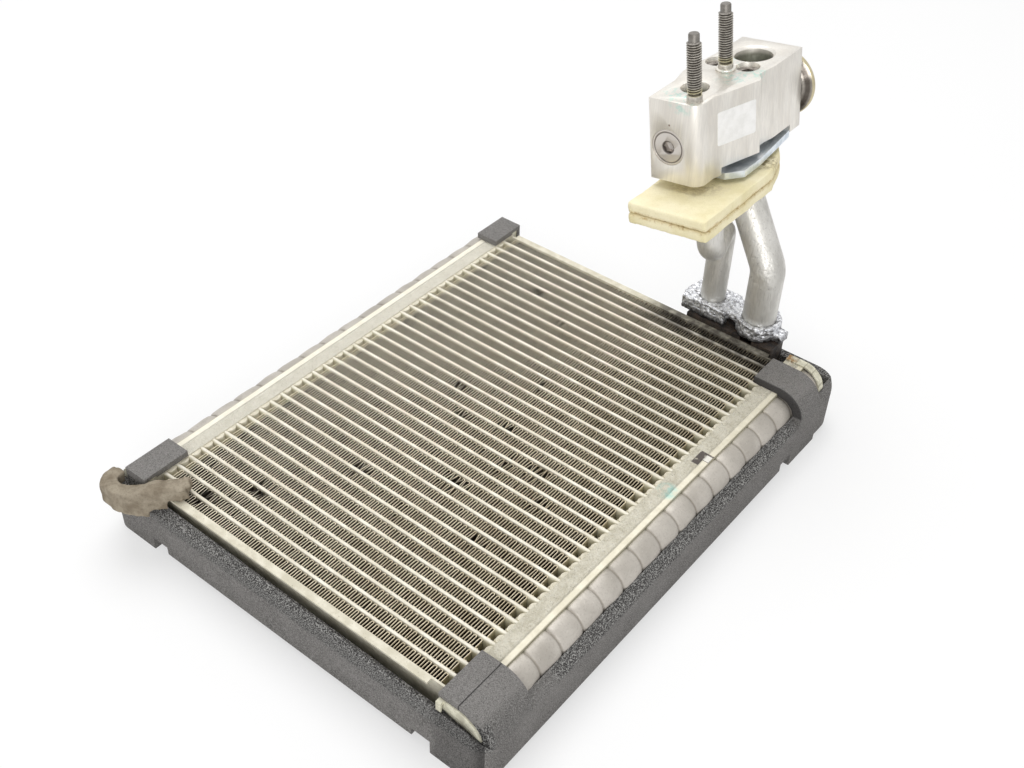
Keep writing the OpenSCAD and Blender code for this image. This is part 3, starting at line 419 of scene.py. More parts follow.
# Header plates. Pressed aluminium plates that the tubes are pushed through. They are thick
# with flux, which is rough towards the core and smooth along the lip over the tank.
header_finish = Finish("header_flux")
lip = header_finish.outwards(165.6, 166.8)
right_side = header_finish.axis(X) > 0.0
patch = header_finish.span(header_finish.grain(5.0, 4.0, 0.6), 0.33, 0.7)
pit = header_finish.span(header_finish.grain(0.75, 3.0, 0.65), 0.57, 0.68)
chalk = header_finish.blend(patch, paint(219, 212, 190), paint(243, 237, 218))
chalk = header_finish.blend(pit * (1.0 - lip) * 0.45, chalk, paint(134, 125, 100))
fleck = header_finish.span(header_finish.grain(0.8, 3.0, 0.6), 0.46, 0.62)
chalk = header_finish.blend(fleck * (1.0 - lip) * 0.45, chalk, paint(250, 246, 232))
chalk = header_finish.blend((1.0 - right_side) * 0.55, chalk, paint(244, 240, 226))
chalk = header_finish.blend(lip * right_side * 0.4, chalk, paint(233, 227, 206))
# Painted shade in a thin line along the lip's edge, where it meets the tank
lip_edge_shade = header_finish.outwards(168.85, 169.1)
chalk = header_finish.blend(lip_edge_shade * 0.7, chalk, paint(150, 144, 120))
dye = header_finish.near(at_core(164.9, 131.3, 0.3), 4.2, 1.8)
dye = dye * header_finish.span(header_finish.grain(3.4, 3.0), 0.36, 0.66)
chalk = header_finish.blend(dye * 0.7, chalk, paint(158, 220, 211))
# An inked mark with a pale window, half rubbed away
ink_at = at_core(166.0, 156.5, 0.3)
ink_x = header_finish.axis(X) - ink_at.x
ink_y = header_finish.axis(Y) - ink_at.y
ink = (abs(ink_x) / (3.2 * MM)).least(abs(ink_y) / (4.4 * MM))
ink = header_finish.span(ink, 0.92, 1.02, 1.0, 0.0)
bare = (abs(ink_x - 1.5 * MM) / (1.5 * MM)).least(abs(ink_y - 1.5 * MM) / (1.9 * MM))
bare = header_finish.span(bare, 0.85, 1.0, 1.0, 0.0)
worn = header_finish.span(header_finish.grain(2.4, 3.0, 0.6), 0.3, 0.42)
worn = worn * (1.0 - (ink_x > 0.2 * MM) * (ink_y < -0.6 * MM))
chalk = header_finish.blend(ink * (1.0 - bare) * worn * 0.9, chalk, paint(72, 62, 62))
chalk = header_finish.blend(bare * 0.8, chalk, paint(236, 234, 228))
lumps = header_finish.grain(1.7, 5.0, 0.72) + header_finish.grain(0.8, 2.0, 0.5) * 0.4
header_rough = header_finish.close(
    colour=chalk, rough=0.6, metal=0.1,
    normal=header_finish.relief(lumps * (1.0 - lip * 0.85), 2.1, 1.0))
for name in ("left_header_plate", "right_header_plate"):
    dress(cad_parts[name], header_rough)


# Domes. Between two tubes the header plate is pressed up towards the core in a rounded
# dome, so that its inner edge is scalloped. Flux has run down below each dome.
dome_root = 160.3


def eased(piece, width, limit=0.6, segments=2):
    """Rounds a piece's sharp edges."""
    applied(piece, "BEVEL", width=width * MM, segments=segments, limit_method="ANGLE", angle_limit=limit)


def joined(pieces):
    """Makes one piece of several."""
    only(pieces[0])
    for piece in pieces[1:]:
        piece.select_set(True)
    bpy.ops.object.join()
    return bpy.context.object


def half_round(name, points, size, spot, edge, segments):
    """Half of an upright cylinder, cut flat where it meets the header plate."""
    bpy.ops.object.select_all(action="DESELECT")
    bpy.ops.mesh.primitive_cylinder_add(vertices=points, radius=1.0, depth=1.0)
    piece = bpy.context.object
    piece.scale = Vector(size) * MM
    piece.location = spot
    settle(piece, name)
    bpy.ops.object.mode_set(mode="EDIT")
    bpy.ops.mesh.select_all(action="SELECT")
    bpy.ops.mesh.bisect(
        plane_co=at_core(dome_root, 0, 0), plane_no=(1, 0, 0), clear_outer=True, use_fill=True)
    bpy.ops.object.mode_set(mode="OBJECT")
    eased(piece, edge, 1.0, segments)
    return piece


dome = half_round("dome", 28, (1.9, 2.4, 27.0), at_core(160.0, tube_step / 2, -13.7), 0.9, 3)
run = half_round("run", 20, (3.3, 2.3, 24.2), at_core(160.2, tube_step / 2, -14.9), 0.5, 2)
dome = joined([dome, run])
bpy.ops.object.shade_smooth_by_angle(angle=1.0)
domes = []
for side in (0, 1):
    for gap in range(1, row_count - 1):
        copy = dome.copy()
        copy.data = dome.data.copy()
        bpy.context.scene.collection.objects.link(copy)
        spots = points_of(copy)
        if side == 0:
            spots[:, 0] = -spots[:, 0]
            copy.data.flip_normals()
        swell = 1.0 + 0.12 * noise.noise(Vector((gap * 3.7, side * 9.0, 0.5)))
        root_x = (1 if side else -1) * at_core(dome_root, 0, 0).x
        spots[:, 0] = root_x + (spots[:, 0] - root_x) * swell
        spots[:, 1] += gap * tube_step * MM
        move_points(copy, spots)
        domes.append(copy)
bpy.data.objects.remove(dome)
domes = joined(domes)
settle(domes, "header_domes")
dome_finish = Finish("dome_flux")
patch = dome_finish.span(dome_finish.grain(3.0, 4.0, 0.6), 0.33, 0.7)
# Painted shade: the domes darken towards the bottom
down = dome_finish.past(Z, -5.0, -0.6)
chalk = dome_finish.blend(patch, paint(214, 207, 186), paint(238, 232, 214))
chalk = dome_finish.blend(down, paint(206, 199, 172), chalk)
dress(domes, dome_finish.close(
    colour=chalk, rough=0.66, metal=0.1,
    normal=dome_finish.relief(dome_finish.grain(1.3, 5.0, 0.75), 0.7, 0.9)))
fit(domes, "plate")


# Header tanks. Drawn aluminium half tubes, pressed into shallow sections by the bands
# between them, and crimped under the header plate's lip.
groove_first = 4.4
groove_step = 13.1
groove_half = 0.9
groove_deep = 0.62
tank_round = 8.4


def choose(piece, kind, test):
    """Selects the piece's faces, edges or points that pass the test, and opens it."""
    only(piece)
    bpy.ops.object.mode_set(mode="EDIT")
    bpy.ops.mesh.select_mode(type=kind)
    bpy.ops.mesh.select_all(action="DESELECT")
    bpy.ops.object.mode_set(mode="OBJECT")
    mesh = piece.data
    if kind == "FACE":
        for face in mesh.polygons:
            face.select = test(face)
    elif kind == "EDGE":
        for edge in mesh.edges:
            edge.select = test(mesh.vertices[edge.vertices[0]].co, mesh.vertices[edge.vertices[1]].co)
    else:
        for point in mesh.vertices:
            point.select = test(point.co)
    bpy.ops.object.mode_set(mode="EDIT")


def sections(low, high):
    """Where the tank is cut across: close together in a groove, wide between two."""
    cuts = []
    for number in range(-1, 19):
        groove = groove_first + number * groove_step
        cuts += [groove + shift for shift in (-1.5, -0.7, -0.3, 0.0, 0.3, 0.7, 1.5)]
        cuts += [groove + groove_step * share for share in (0.3, 0.5, 0.7)]
    return [cut for cut in cuts if low + 0.3 < cut < high - 0.3]


for node, outward in (("left_tank", -1), ("right_tank", 1)):
    low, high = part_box(node)
    bpy.ops.object.select_all(action="DESELECT")
    bpy.ops.mesh.primitive_cube_add(size=1.0, location=(low + high) / 2)
    tank = bpy.context.object
    tank.scale = high - low
    settle(tank, node + "_shell")
    rim = high.x if outward > 0 else low.x
    choose(tank, "EDGE", lambda a, b: max(abs(a.x - rim), abs(b.x - rim)) < 1e-5 and abs(a.y - b.y) > 0.1)
    bpy.ops.mesh.bevel(offset=tank_round * MM, segments=12, affect="EDGES")
    for cut in sections(low.y / MM + ORIGIN[Y], high.y / MM + ORIGIN[Y]):
        bpy.ops.mesh.select_all(action="SELECT")
        bpy.ops.mesh.bisect(plane_co=at_core(0, cut, 0), plane_no=(0, 1, 0))
    bpy.ops.object.mode_set(mode="OBJECT")
    spots = points_of(tank)
    along = in_core(spots)[:, 1]
    phase = np.mod(along - groove_first + groove_step / 2, groove_step) - groove_step / 2
    swell = 0.36 * (1.0 - (np.abs(phase) / (groove_step / 2) - 1.0) ** 2) - 0.1
    pressed = np.cos(np.clip(phase, -groove_half, groove_half) / groove_half * math.pi / 2)
    swell = np.where(np.abs(phase) < groove_half, -groove_deep * pressed + 0.02, swell)
    number = np.round((along - groove_first) / groove_step)
    swell += 0.12 * np.sin(number * 2.3) * (np.abs(phase) > 1.0)
    heart_x = rim - outward * tank_round * MM
    heart_z = (low.z + high.z) / 2
    away_x = np.where(outward * (spots[:, 0] - heart_x) > 0, spots[:, 0] - heart_x, 0.0)
    away_z = spots[:, 2] - heart_z
    bar = np.clip(np.abs(away_z) - (high.z - low.z) / 2 + tank_round * MM, 0, None) * np.sign(away_z)
    lengths = np.hypot(away_x, bar) + 1e-9
    turned = outward * (spots[:, 0] - heart_x) > -0.2 * MM
    spots[:, 0] += np.where(turned, away_x / lengths * swell * MM, 0.0)
    spots[:, 2] += np.where(turned, bar / lengths * swell * MM, 0.0)
    move_points(tank, spots)
    only(tank)
    bpy.ops.object.shade_smooth_by_angle(angle=0.7)
    tank_finish = Finish(node + "_satin")
    cloud = tank_finish.span(tank_finish.grain(16.0, 3.0, 0.5), 0.3, 0.7)
    scuff = tank_finish.span(tank_finish.grain(1.1, 4.0, 0.7), 0.62, 0.72)
    satin = tank_finish.blend(cloud, paint(171, 165, 156), paint(195, 189, 180))
    dots = tank_finish.grain(0.8, 3.0, 0.6)
    satin = tank_finish.blend(tank_finish.span(dots, 0.3, 0.5, 0.3, 0.0), satin, paint(140, 132, 124))
    satin = tank_finish.blend(scuff * 0.5, satin, paint(228, 223, 215))
    # Painted shade along the grooves
    offset = tank_finish.axis(Y) / MM + (ORIGIN[Y] - groove_first + groove_step / 2)
    groove_shade = tank_finish.span(abs(offset.wrapped(groove_step) - groove_step / 2), 0.25, 0.75, 1.0, 0.0)
    satin = tank_finish.blend(groove_shade * 0.55, satin, paint(118, 110, 98))
    # Painted shade on the tank where it runs in under the header plate's lip
    under_lip_shade = 1.0 - tank_finish.outwards(169.2, 170.3)
    satin = tank_finish.blend(under_lip_shade * 0.6, satin, paint(150, 146, 124))
    dress(tank, tank_finish.close(
        colour=satin, rough=0.46, metal=0.35,
        normal=tank_finish.relief(tank_finish.grain(2.2, 5.0, 0.7), 0.22, 0.8)))
    fit(tank, "tank", node)


# End caps. Cups of pressed aluminium brazed over the ends of plate and tank, covered with
# the greenish cream of thick flux, which has fine cracks in it.
cap_finish = Finish("cap_flux")
patch = cap_finish.span(cap_finish.grain(4.0, 4.0, 0.6), 0.35, 0.68)
chalk = cap_finish.blend(patch, paint(196, 192, 172), paint(232, 229, 208))
crack = cap_finish.span(abs(cap_finish.grain(6.0, 5.0, 0.6) - 0.5), 0.0, 0.012, 1.0, 0.0)
chalk = cap_finish.blend(crack * 0.35, chalk, paint(110, 104, 84))
stain = cap_finish.near(at_core(161.5, 239.0, 1.0), 3.6, 1.4)
stain = stain * cap_finish.span(cap_finish.grain(1.6, 3.0), 0.35, 0.6)
chalk = cap_finish.blend(stain * 0.9, chalk, paint(146, 104, 44))
# On the far right one the pleats round the bend are painted in, as lines of shade
pleat_step = 4.4
pleat_shade = abs((cap_finish.axis(X) / MM + ORIGIN[X]).wrapped(pleat_step) - pleat_step / 2)
pleat_shade = cap_finish.span(pleat_shade, 0.08, 0.34, 1.0, 0.0) * (cap_finish.axis(X) > at_core(164.5, 0, 0).x)
pleat_shade = pleat_shade * (cap_finish.axis(Y) > at_core(0, 232.0, 0).y)
chalk = cap_finish.blend(pleat_shade * 0.5, chalk, paint(122, 116, 94))
# Painted shade under the near right cap's arched rim
rim_shade = cap_finish.before(Z, -4.2, -3.0) * cap_finish.before(Y, -4.9, -4.5)
rim_shade = rim_shade * cap_finish.before(X, 162.5, 166.0)
chalk = cap_finish.blend(rim_shade * 0.85, chalk, paint(58, 52, 44))
cap_rough = cap_finish.close(
    colour=chalk, rough=0.62, metal=0.1,
    normal=cap_finish.relief(cap_finish.grain(1.8, 4.0, 0.7), 0.5, 0.8))
for name in ("end_cap_near_left", "end_cap_near_right", "end_cap_far_left", "end_cap_far_right"):
    dress(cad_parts[name], cap_rough)


# Foam tray. One moulding of black closed-cell foam that holds the core. Its outer faces
# are skinned and fine, its sloping top edges are torn to open grains.
def skin_of(node, name):
    """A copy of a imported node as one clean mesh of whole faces, ready to be shaped."""
    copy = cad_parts[node].copy()
    copy.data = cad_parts[node].data.copy()
    for key in list(copy.keys()):
        del copy[key]
    copy.parent = None
    bpy.context.scene.collection.objects.link(copy)
    copy.name = name
    copy.data.name = name
    only(copy)
    bpy.ops.object.mode_set(mode="EDIT")
    bpy.ops.mesh.select_all(action="SELECT")
    bpy.ops.mesh.remove_doubles(threshold=1e-6)
    bpy.ops.mesh.customdata_custom_splitnormals_clear()
    bpy.ops.mesh.dissolve_limited(angle_limit=0.01)
    bpy.ops.mesh.normals_make_consistent(inside=False)
    bpy.ops.object.mode_set(mode="OBJECT")
    return copy


tray = skin_of("foam_frame", "foam_tray")
# Before the near right end cap the foam swells up to the cap's rim
spots = points_of(tray)
corner = [at_core(158.5, 0, 0).x, at_core(0, -4.9, 0).y, at_core(0, 0, -10.5).z]
swollen = (spots[:, 0] > corner[0]) & (spots[:, 1] < corner[1]) & (spots[:, 2] > corner[2])
spots[swollen, 2] += np.where(spots[swollen, 0] < at_core(176, 0, 0).x, 5.2, 1.6) * MM
# The near right strap laps over the end cap's rim, and the near end of the far right one
# is pressed down to the tank
near_end = at_core(0, -1.0, 0).y
far_end = at_core(0, 213.8, 0).y
bend = (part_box("foam_frame")[1].x - 13.0 * MM, at_core(0, 0, -9.6).z)
reach_x = np.maximum(spots[:, 0] - bend[0], 0.0)
reach_z = spots[:, 2] - bend[1]
on_strap = (spots[:, 0] > at_core(155, 0, 0).x) & (reach_z > -0.1 * MM)
lap = on_strap & (np.abs(spots[:, 1] - near_end) < 0.1 * MM)
spots[lap, 1] -= 3.7 * MM
inner = on_strap & (np.abs(spots[:, 1] - far_end) < 0.1 * MM)
inner = inner & (np.hypot(reach_x, reach_z) < 10.6 * MM) & (reach_x > 0.0)
spots[inner, 0] -= reach_x[inner] * 0.13
spots[inner, 2] -= reach_z[inner] * 0.13
move_points(tray, spots)
eased(tray, 1.1, segments=3)
bpy.ops.object.shade_smooth_by_angle(angle=0.7)
foam_finish = Finish("tray_foam")
tall = foam_finish.axis(Z) + foam_finish.grain(4.0, 3.0, 0.6) * (2.0 * MM)
torn = foam_finish.span(tall, at_core(0, 0, -12.6).z, at_core(0, 0, -10.2).z)
torn = torn * foam_finish.before(Z, -1.5, 0.5)
strap = foam_finish.outwards(209.0, 213.0, Y) * (1.0 - foam_finish.outwards(246.6, 248.6, Y))
torn = torn * (1.0 - 0.75 * strap * foam_finish.outwards(160.0, 161.5))
grit = foam_finish.grain(0.55, 2.0, 0.5)
dust = foam_finish.grain(0.42, 2.0, 0.5)
haze = foam_finish.span(foam_finish.grain(22.0, 3.0, 0.6), 0.3, 0.7)
skin = foam_finish.blend(haze, paint(98, 96, 93), paint(117, 115, 112))
skin = foam_finish.blend(foam_finish.past(Z, -1.0, 1.0) * 0.45, skin, paint(134, 132, 129))
skin = foam_finish.blend(foam_finish.span(dust, 0.42, 0.68), skin, paint(142, 139, 137))
skin = foam_finish.blend(foam_finish.span(dust, 0.30, 0.42, 0.6, 0.0), skin, paint(58, 57, 56))
grains = foam_finish.blend(foam_finish.span(grit, 0.40, 0.62), paint(30, 29, 29), paint(168, 167, 164))
skin = foam_finish.blend(torn * 0.75, skin, grains)
# A crease where the near right strap starts to bend, and a pit in the near left one, pressed in by the bump
# and painted dark as their shade
crease_at = abs(foam_finish.axis(X) - at_core(168.6, 0, 0).x)
crease_with_shade = foam_finish.span(crease_at, 0.05 * MM, 0.3 * MM, 1.0, 0.0)
crease_with_shade = crease_with_shade * foam_finish.before(Y, 20, 22) * foam_finish.past(Z, 0, 1)
crease_with_shade = (crease_with_shade + foam_finish.near(at_core(-4.6, 12.0, 4.4), 0.6, 0.25)).capped(1.0)
skin = foam_finish.blend(crease_with_shade * 0.8, skin, paint(34, 33, 33))
# Painted shade at the near end of the far right strap
strap_end_shade = foam_finish.span(abs(foam_finish.axis(Y) - far_end), 0.4 * MM, 1.3 * MM, 1.0, 0.0)
strap_end_shade = strap_end_shade * foam_finish.past(X, 150, 152) * foam_finish.past(Z, -8.5, -7.0)
skin = foam_finish.blend(strap_end_shade * 0.82, skin, paint(44, 42, 42))
# Painted shade where it meets the near right end cap, and in a band down the right wall from there
meets = foam_finish.past(Y, -8.6, -5.8) * foam_finish.before(Y, -5.0, -4.8)
meets = meets * foam_finish.past(X, 157.0, 161.0) * foam_finish.before(Z, -1.0, 0.6)
skin = foam_finish.blend(meets * 0.7, skin, paint(34, 32, 32))
pits = foam_finish.span(grit, 0.35, 0.65) * (0.3 + 0.7 * torn)
dress(tray, foam_finish.close(
    colour=skin, rough=0.85, metal=0.0, shine=0.25,
    normal=foam_finish.relief(pits - crease_with_shade * 1.5, 0.7, 0.8)))
fit(tray, "foam", "foam_frame")


# Sponge strip. A loose strip of open sponge laid over the near left corner, torn off at
# its end on the core.
def softened(piece, voxel, steps):
    """Turns a piece into one skin of small even faces and smooths it."""
    applied(piece, "REMESH", mode="VOXEL", voxel_size=voxel * MM)
    applied(piece, "SMOOTH", factor=0.5, iterations=steps)


def lumpy(piece, name, kind, size, depth, middle=0.5, **settings):
    """Pushes a piece's surface in and out by a cloudy or cellular pattern."""
    pattern = bpy.data.textures.new(name, kind)
    pattern.noise_scale = size * MM
    for key, value in settings.items():
        setattr(pattern, key, value)
    applied(piece, "DISPLACE", texture=pattern, strength=depth * MM, mid_level=middle,
            texture_coords="LOCAL")


strip = skin_of("sponge_strip", "sponge")
softened(strip, 0.9, 6)
lumpy(strip, "sponge_lumps", "CLOUDS", 6.0, 1.6)
spots = points_of(strip)
out_on_core = np.clip((spots[:, 0] - at_core(-1.0, 0, 0).x) / (7.0 * MM), 0.0, 1.0)
route = at_core(0, -4.5, 0).y + (spots[:, 0] - at_core(7.5, 0, 0).x) * 0.85
spots[:, 1] += (spots[:, 1] - route) * out_on_core * 0.3
ground = at_core(0, 0, 0.3).z
spots[:, 2] += np.maximum(spots[:, 2] - ground, 0.0) * out_on_core * 0.75
tail = Vector(at_core(17.5, 4.0, 0))
for index, spot in enumerate(spots):
    close = max(0.0, 1.0 - (Vector((spot[0], spot[1], tail.z)) - tail).length / (7.0 * MM))
    if close > 0:
        tear = noise.noise(Vector((spot[1] * 600, spot[2] * 900, 4.0)))
        spots[index, 0] += close * (tear * 5.0 + 1.2) * MM
        spots[index, 2] += close * noise.noise(Vector((spot[0] * 500, spot[1] * 500, 8.0))) * 1.4 * MM
lowest = np.where(spots[:, 1] > at_core(0, -2.5, 0).y, at_core(0, 0, 0.35).z, -1.0)
spots[:, 2] = np.maximum(spots[:, 2], lowest)
move_points(strip, spots)
applied(strip, "SUBSURF", levels=1, render_levels=1)
bpy.ops.object.shade_smooth_by_angle(angle=3.1)
strip_finish = Finish("sponge_open")
pores = strip_finish.grain(0.8, 3.0, 0.6)
streak = strip_finish.span(strip_finish.grain(7.0, 3.0, 0.6), 0.3, 0.7)
cloth = strip_finish.blend(streak, paint(126, 115, 99), paint(164, 154, 137))
cloth = strip_finish.blend(strip_finish.span(pores, 0.5, 0.7) * 0.3, cloth, paint(92, 84, 66))
dress(strip, strip_finish.close(
    colour=cloth, rough=0.95, metal=0.0, shine=0.1, normal=strip_finish.relief(pores, 0.5, 0.7)))
fit(strip, "sponge", "sponge_strip")


# Manifold channel. A brazed box under the connector, painted near black as shade.
duct_finish = Finish("duct_painted_shade")
lumps = duct_finish.grain(3.0, 4.0, 0.7)
duct_shade = duct_finish.blend(duct_finish.span(lumps, 0.35, 0.7), paint(24, 20, 18), paint(66, 54, 44))
dress(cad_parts["manifold_duct"], duct_finish.close(
    colour=duct_shade, rough=0.55, metal=0.1, normal=duct_finish.relief(lumps, 0.9, 1.0)))


# Connector. The block and boss that the pipes are brazed into, covered with crinkled
# silver braze that has run and frozen in folds.
connector = skin_of("connector_block", "connector_braze")
softened(connector, 0.55, 5)
lumpy(connector, "braze_folds", "CLOUDS", 5.2, 0.8, 0.6, noise_depth=1)
lumpy(connector, "braze_creases", "VORONOI", 1.9, 0.55, distance_metric="MANHATTAN")
applied(connector, "DECIMATE", ratio=0.42)
bpy.ops.object.shade_flat()
braze_finish = Finish("silver_braze")
crinkle = braze_finish.grain(1.7, 4.0, 0.65)
# Painted shade in the crevices of the braze
crevice = braze_finish.span(braze_finish.grain(2.4, 3.0, 0.6), 0.36, 0.46, 1.0, 0.0)
ridge = braze_finish.span(crinkle, 0.35, 0.6)
silver = braze_finish.blend(ridge, paint(166, 167, 171), paint(230, 231, 234))
silver = braze_finish.blend(crevice * 0.55, silver, paint(74, 69, 66))
# Painted shade at the foot of the connector, below its bosses
silver = braze_finish.blend(braze_finish.before(Z, 2.5, 6.5) * 0.75, silver, paint(44, 38, 34))
dress(connector, braze_finish.close(
    colour=silver, rough=braze_finish.span(crinkle, 0.3, 0.7, 0.22, 0.46), metal=0.85,
    normal=braze_finish.relief(crinkle, 0.5, 0.8)))
fit(connector, "braze", "connector_block")


# Pipes. Drawn aluminium tubes bent by hand tools, which left flats, ripples and fine
# cracks of oxide at the bends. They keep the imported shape.
pipe_finish = Finish("pipe_satin")
sheen = pipe_finish.span(pipe_finish.grain(9.0, 4.0, 0.6, stretch=(1.0, 1.0, 0.35)), 0.3, 0.72)
bright = pipe_finish.blend(sheen, paint(190, 188, 183), paint(220, 218, 213))
marks = pipe_finish.span(pipe_finish.grain(1.4, 5.0, 0.7, stretch=(1.0, 1.0, 0.5)), 0.62, 0.69)
scratch = pipe_finish.span(pipe_finish.grain(0.7, 3.0, 0.6, stretch=(1.0, 1.0, 0.08)), 0.5, 0.72)
bright = pipe_finish.blend(scratch * 0.35, bright, paint(150, 147, 141))
knees = pipe_finish.near(at_core(138.8, 247, 38), 11.0, 5.0)
knees = knees + pipe_finish.near(at_core(113.3, 247, 52), 9.0, 4.0)
bright = pipe_finish.blend(marks * (0.3 + 0.7 * knees), bright, paint(88, 83, 74))
bright = pipe_finish.blend(pipe_finish.before(Z, 12, 24) * 0.4, bright, paint(206, 205, 200))
ripple = pipe_finish.grain(3.2, 3.0, 0.6) * (0.5 + knees) - scratch * 0.15
pipe_satin = pipe_finish.close(
    colour=bright, rough=pipe_finish.span(sheen, 0.0, 1.0, 0.52, 0.4), metal=0.75,
    normal=pipe_finish.relief(ripple, 0.45, 0.9))
for name in ("liquid_pipe", "suction_pipe"):
    dress(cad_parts[name], pipe_satin)


# Foam seal. Two layers of pale yellow foam round the pipes, glued together, with worn
# corners and brown marks where the valve has pressed on it.
valve_lean = math.radians(8.7)
VALVE = Matrix.Translation(at_core(95.1, 199.0, 127.2)) @ Matrix.Rotation(-valve_lean, 4, "Y")


def at_valve(x, y, z):
    """A point given in the valve's millimetres, from a corner of its top."""
    return VALVE @ Vector((x * MM, y * MM, z * MM))


valve_up = at_valve(0, 0, 1000.0) - at_valve(0, 0, 0)
joint_height = at_valve(0, 0, -44.45).dot(valve_up)
for node in ("seal_lower", "seal_upper"):
    layer = skin_of(node, node + "_foam")
    softened(layer, 0.7, 3)
    lumpy(layer, node + "_wear", "CLOUDS", 9.0, 0.7)
    bpy.ops.object.shade_smooth_by_angle(angle=3.1)
    seal_finish = Finish(node + "_yellow")
    pale = seal_finish.span(seal_finish.grain(14.0, 3.0, 0.6), 0.3, 0.7)
    butter = seal_finish.blend(pale, paint(233, 222, 178), paint(248, 239, 205))
    pores = seal_finish.grain(0.6, 2.0, 0.5)
    butter = seal_finish.blend(seal_finish.span(pores, 0.5, 0.75) * 0.2, butter, paint(196, 186, 134))
    press = seal_finish.span(seal_finish.grain(3.5, 4.0, 0.7), 0.4, 0.62)
    press = press * seal_finish.near(at_valve(15, 12, -39.5), 12.0, 7.0)
    butter = seal_finish.blend(press * 0.5, butter, paint(150, 128, 66))
    press = seal_finish.span(seal_finish.grain(2.5, 4.0, 0.7), 0.4, 0.6)
    press = press * seal_finish.near(at_valve(30, 41, -39.5), 6.0, 4.0)
    butter = seal_finish.blend(press * 0.7, butter, paint(110, 88, 36))
    height = seal_finish.add("ShaderNodeVectorMath", {"operation": "DOT_PRODUCT"}, {
        0: seal_finish.place(), 1: tuple(valve_up)}, "Value")
    glue = seal_finish.span(abs(height - joint_height), 0.4 * MM, 2.0 * MM, 1.0, 0.0)
    crumbs = seal_finish.span(seal_finish.grain(2.6, 4.0, 0.65), 0.5, 0.62)
    butter = seal_finish.blend(glue * (0.25 + 0.75 * crumbs) * 0.8, butter, paint(178, 146, 88))
    dress(layer, seal_finish.close(
        colour=butter, rough=0.9, metal=0.0, shine=0.15, normal=seal_finish.relief(pores, 0.25, 0.6)))
    fit(layer, "seal", node)


# Retaining plate. A stamped steel plate with bright zinc, screwed up under the valve.
zinc_finish = Finish("zinc_plate")
cloud = zinc_finish.span(zinc_finish.grain(5.0, 3.0, 0.6), 0.3, 0.7)
dress(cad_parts["retaining_plate"], zinc_finish.close(
    colour=zinc_finish.blend(cloud, paint(196, 206, 216), paint(232, 238, 244)),
    rough=0.3, metal=0.85, normal=zinc_finish.relief(zinc_finish.grain(1.0, 3.0), 0.05, 0.5)))


# Valve block. A length of extruded aluminium, milled on top and bored for the two lines,
# with fine lines of the extrusion down its sides and traces of dye on its top.
block = skin_of("valve_body", "valve_block")
eased(block, 0.35)
bpy.ops.object.shade_smooth_by_angle(angle=0.5)
bpy.ops.object.select_all(action="DESELECT")
bpy.ops.mesh.primitive_cylinder_add(vertices=40, radius=4.3 * MM, depth=0.9 * MM, location=(0, 0, 0.4 * MM))
boss = bpy.context.object
settle(boss, "stud_boss")
eased(boss, 0.35)
boss.data.transform(VALVE @ Matrix.Translation((12.4 * MM, 38.4 * MM, 0)))
joined([block, boss])
bpy.ops.object.shade_smooth_by_angle(angle=0.5)
block_finish = Finish("block_milled")
lines = block_finish.grain(0.8, 3.0, 0.6, stretch=(1.0, 1.0, 0.02))
broad = block_finish.span(block_finish.grain(7.0, 2.0, 0.5, stretch=(1.0, 1.0, 0.05)), 0.3, 0.7)
bare = block_finish.blend(broad, paint(225, 220, 211), paint(241, 237, 229))
bare = block_finish.blend(block_finish.span(lines, 0.35, 0.65) * 0.3, bare, paint(204, 200, 195))
stain = 0.0
for dye_x, dye_y, reach in ((15, 3, 5.0), (8, 8, 5.0), (20, 32, 6.0), (8, 46, 5.0), (26, 40, 4.0)):
    stain = block_finish.near(at_valve(dye_x, dye_y, 0), reach, 3.5) + stain
stain = stain * block_finish.span(block_finish.grain(2.4, 4.0, 0.65), 0.46, 0.62)
stain = stain * block_finish.span(block_finish.axis(Z), at_valve(0, 0, -4).z, at_valve(0, 0, -1).z)
bare = block_finish.blend(stain * 0.55, bare, paint(150, 212, 200))
bare = block_finish.blend(block_finish.near(at_valve(9.5, 0, -10.3), 0.4, 0.2), bare, paint(128, 104, 92))
bores = 0.0
for spot, reach in (((14.3, 58, -8), 8.6), ((11.4, 16.5, -8), 6.6)):
    bores = block_finish.near(at_valve(*spot), reach + 1.2, 0.6) + bores
olive = block_finish.span(block_finish.grain(3.0, 3.0, 0.6), 0.3, 0.7)
olive = block_finish.blend(olive, paint(96, 98, 80), paint(150, 154, 138))
bare = block_finish.blend(bores.capped(1.0) * 0.75, bare, olive)
dress(block, block_finish.close(
    colour=bare, rough=block_finish.span(broad, 0.0, 1.0, 0.42, 0.34), metal=0.75,
    normal=block_finish.relief(lines, 0.06, 0.7)))
fit(block, "block", "valve_body")


# Sticker. A small white paper label on the block's slanting panel, left blank.
panel_from = Vector((23.45, 11.0, 0.0))
panel_to = Vector((31.2, 34.5, 0.0))
panel_way = (panel_to - panel_from).normalized()
panel_out = Vector((panel_way.y, -panel_way.x, 0.0))
bpy.ops.object.select_all(action="DESELECT")
bpy.ops.mesh.primitive_cube_add(size=1.0)
label = bpy.context.object
label.scale = (20.4 * MM, 14.6 * MM, 0.12 * MM)
settle(label, "label")
choose(label, "EDGE", lambda a, b: abs(a.z - b.z) > 1e-5)
bpy.ops.mesh.bevel(offset=0.9 * MM, segments=4, affect="EDGES")
bpy.ops.object.mode_set(mode="OBJECT")
middle = panel_from + panel_way * 12.3 + panel_out * 0.02
hold = Matrix((
    (panel_way.x, 0.0, panel_out.x, middle.x * MM),
    (panel_way.y, 0.0, panel_out.y, middle.y * MM),
    (0.0, 1.0, 0.0, -14.6 * MM),
    (0.0, 0.0, 0.0, 1.0),
))
label.data.transform(VALVE @ hold)
label.data.update()
label_finish = Finish("label_paper")
fade = label_finish.span(label_finish.grain(4.0, 3.0, 0.6), 0.3, 0.7)
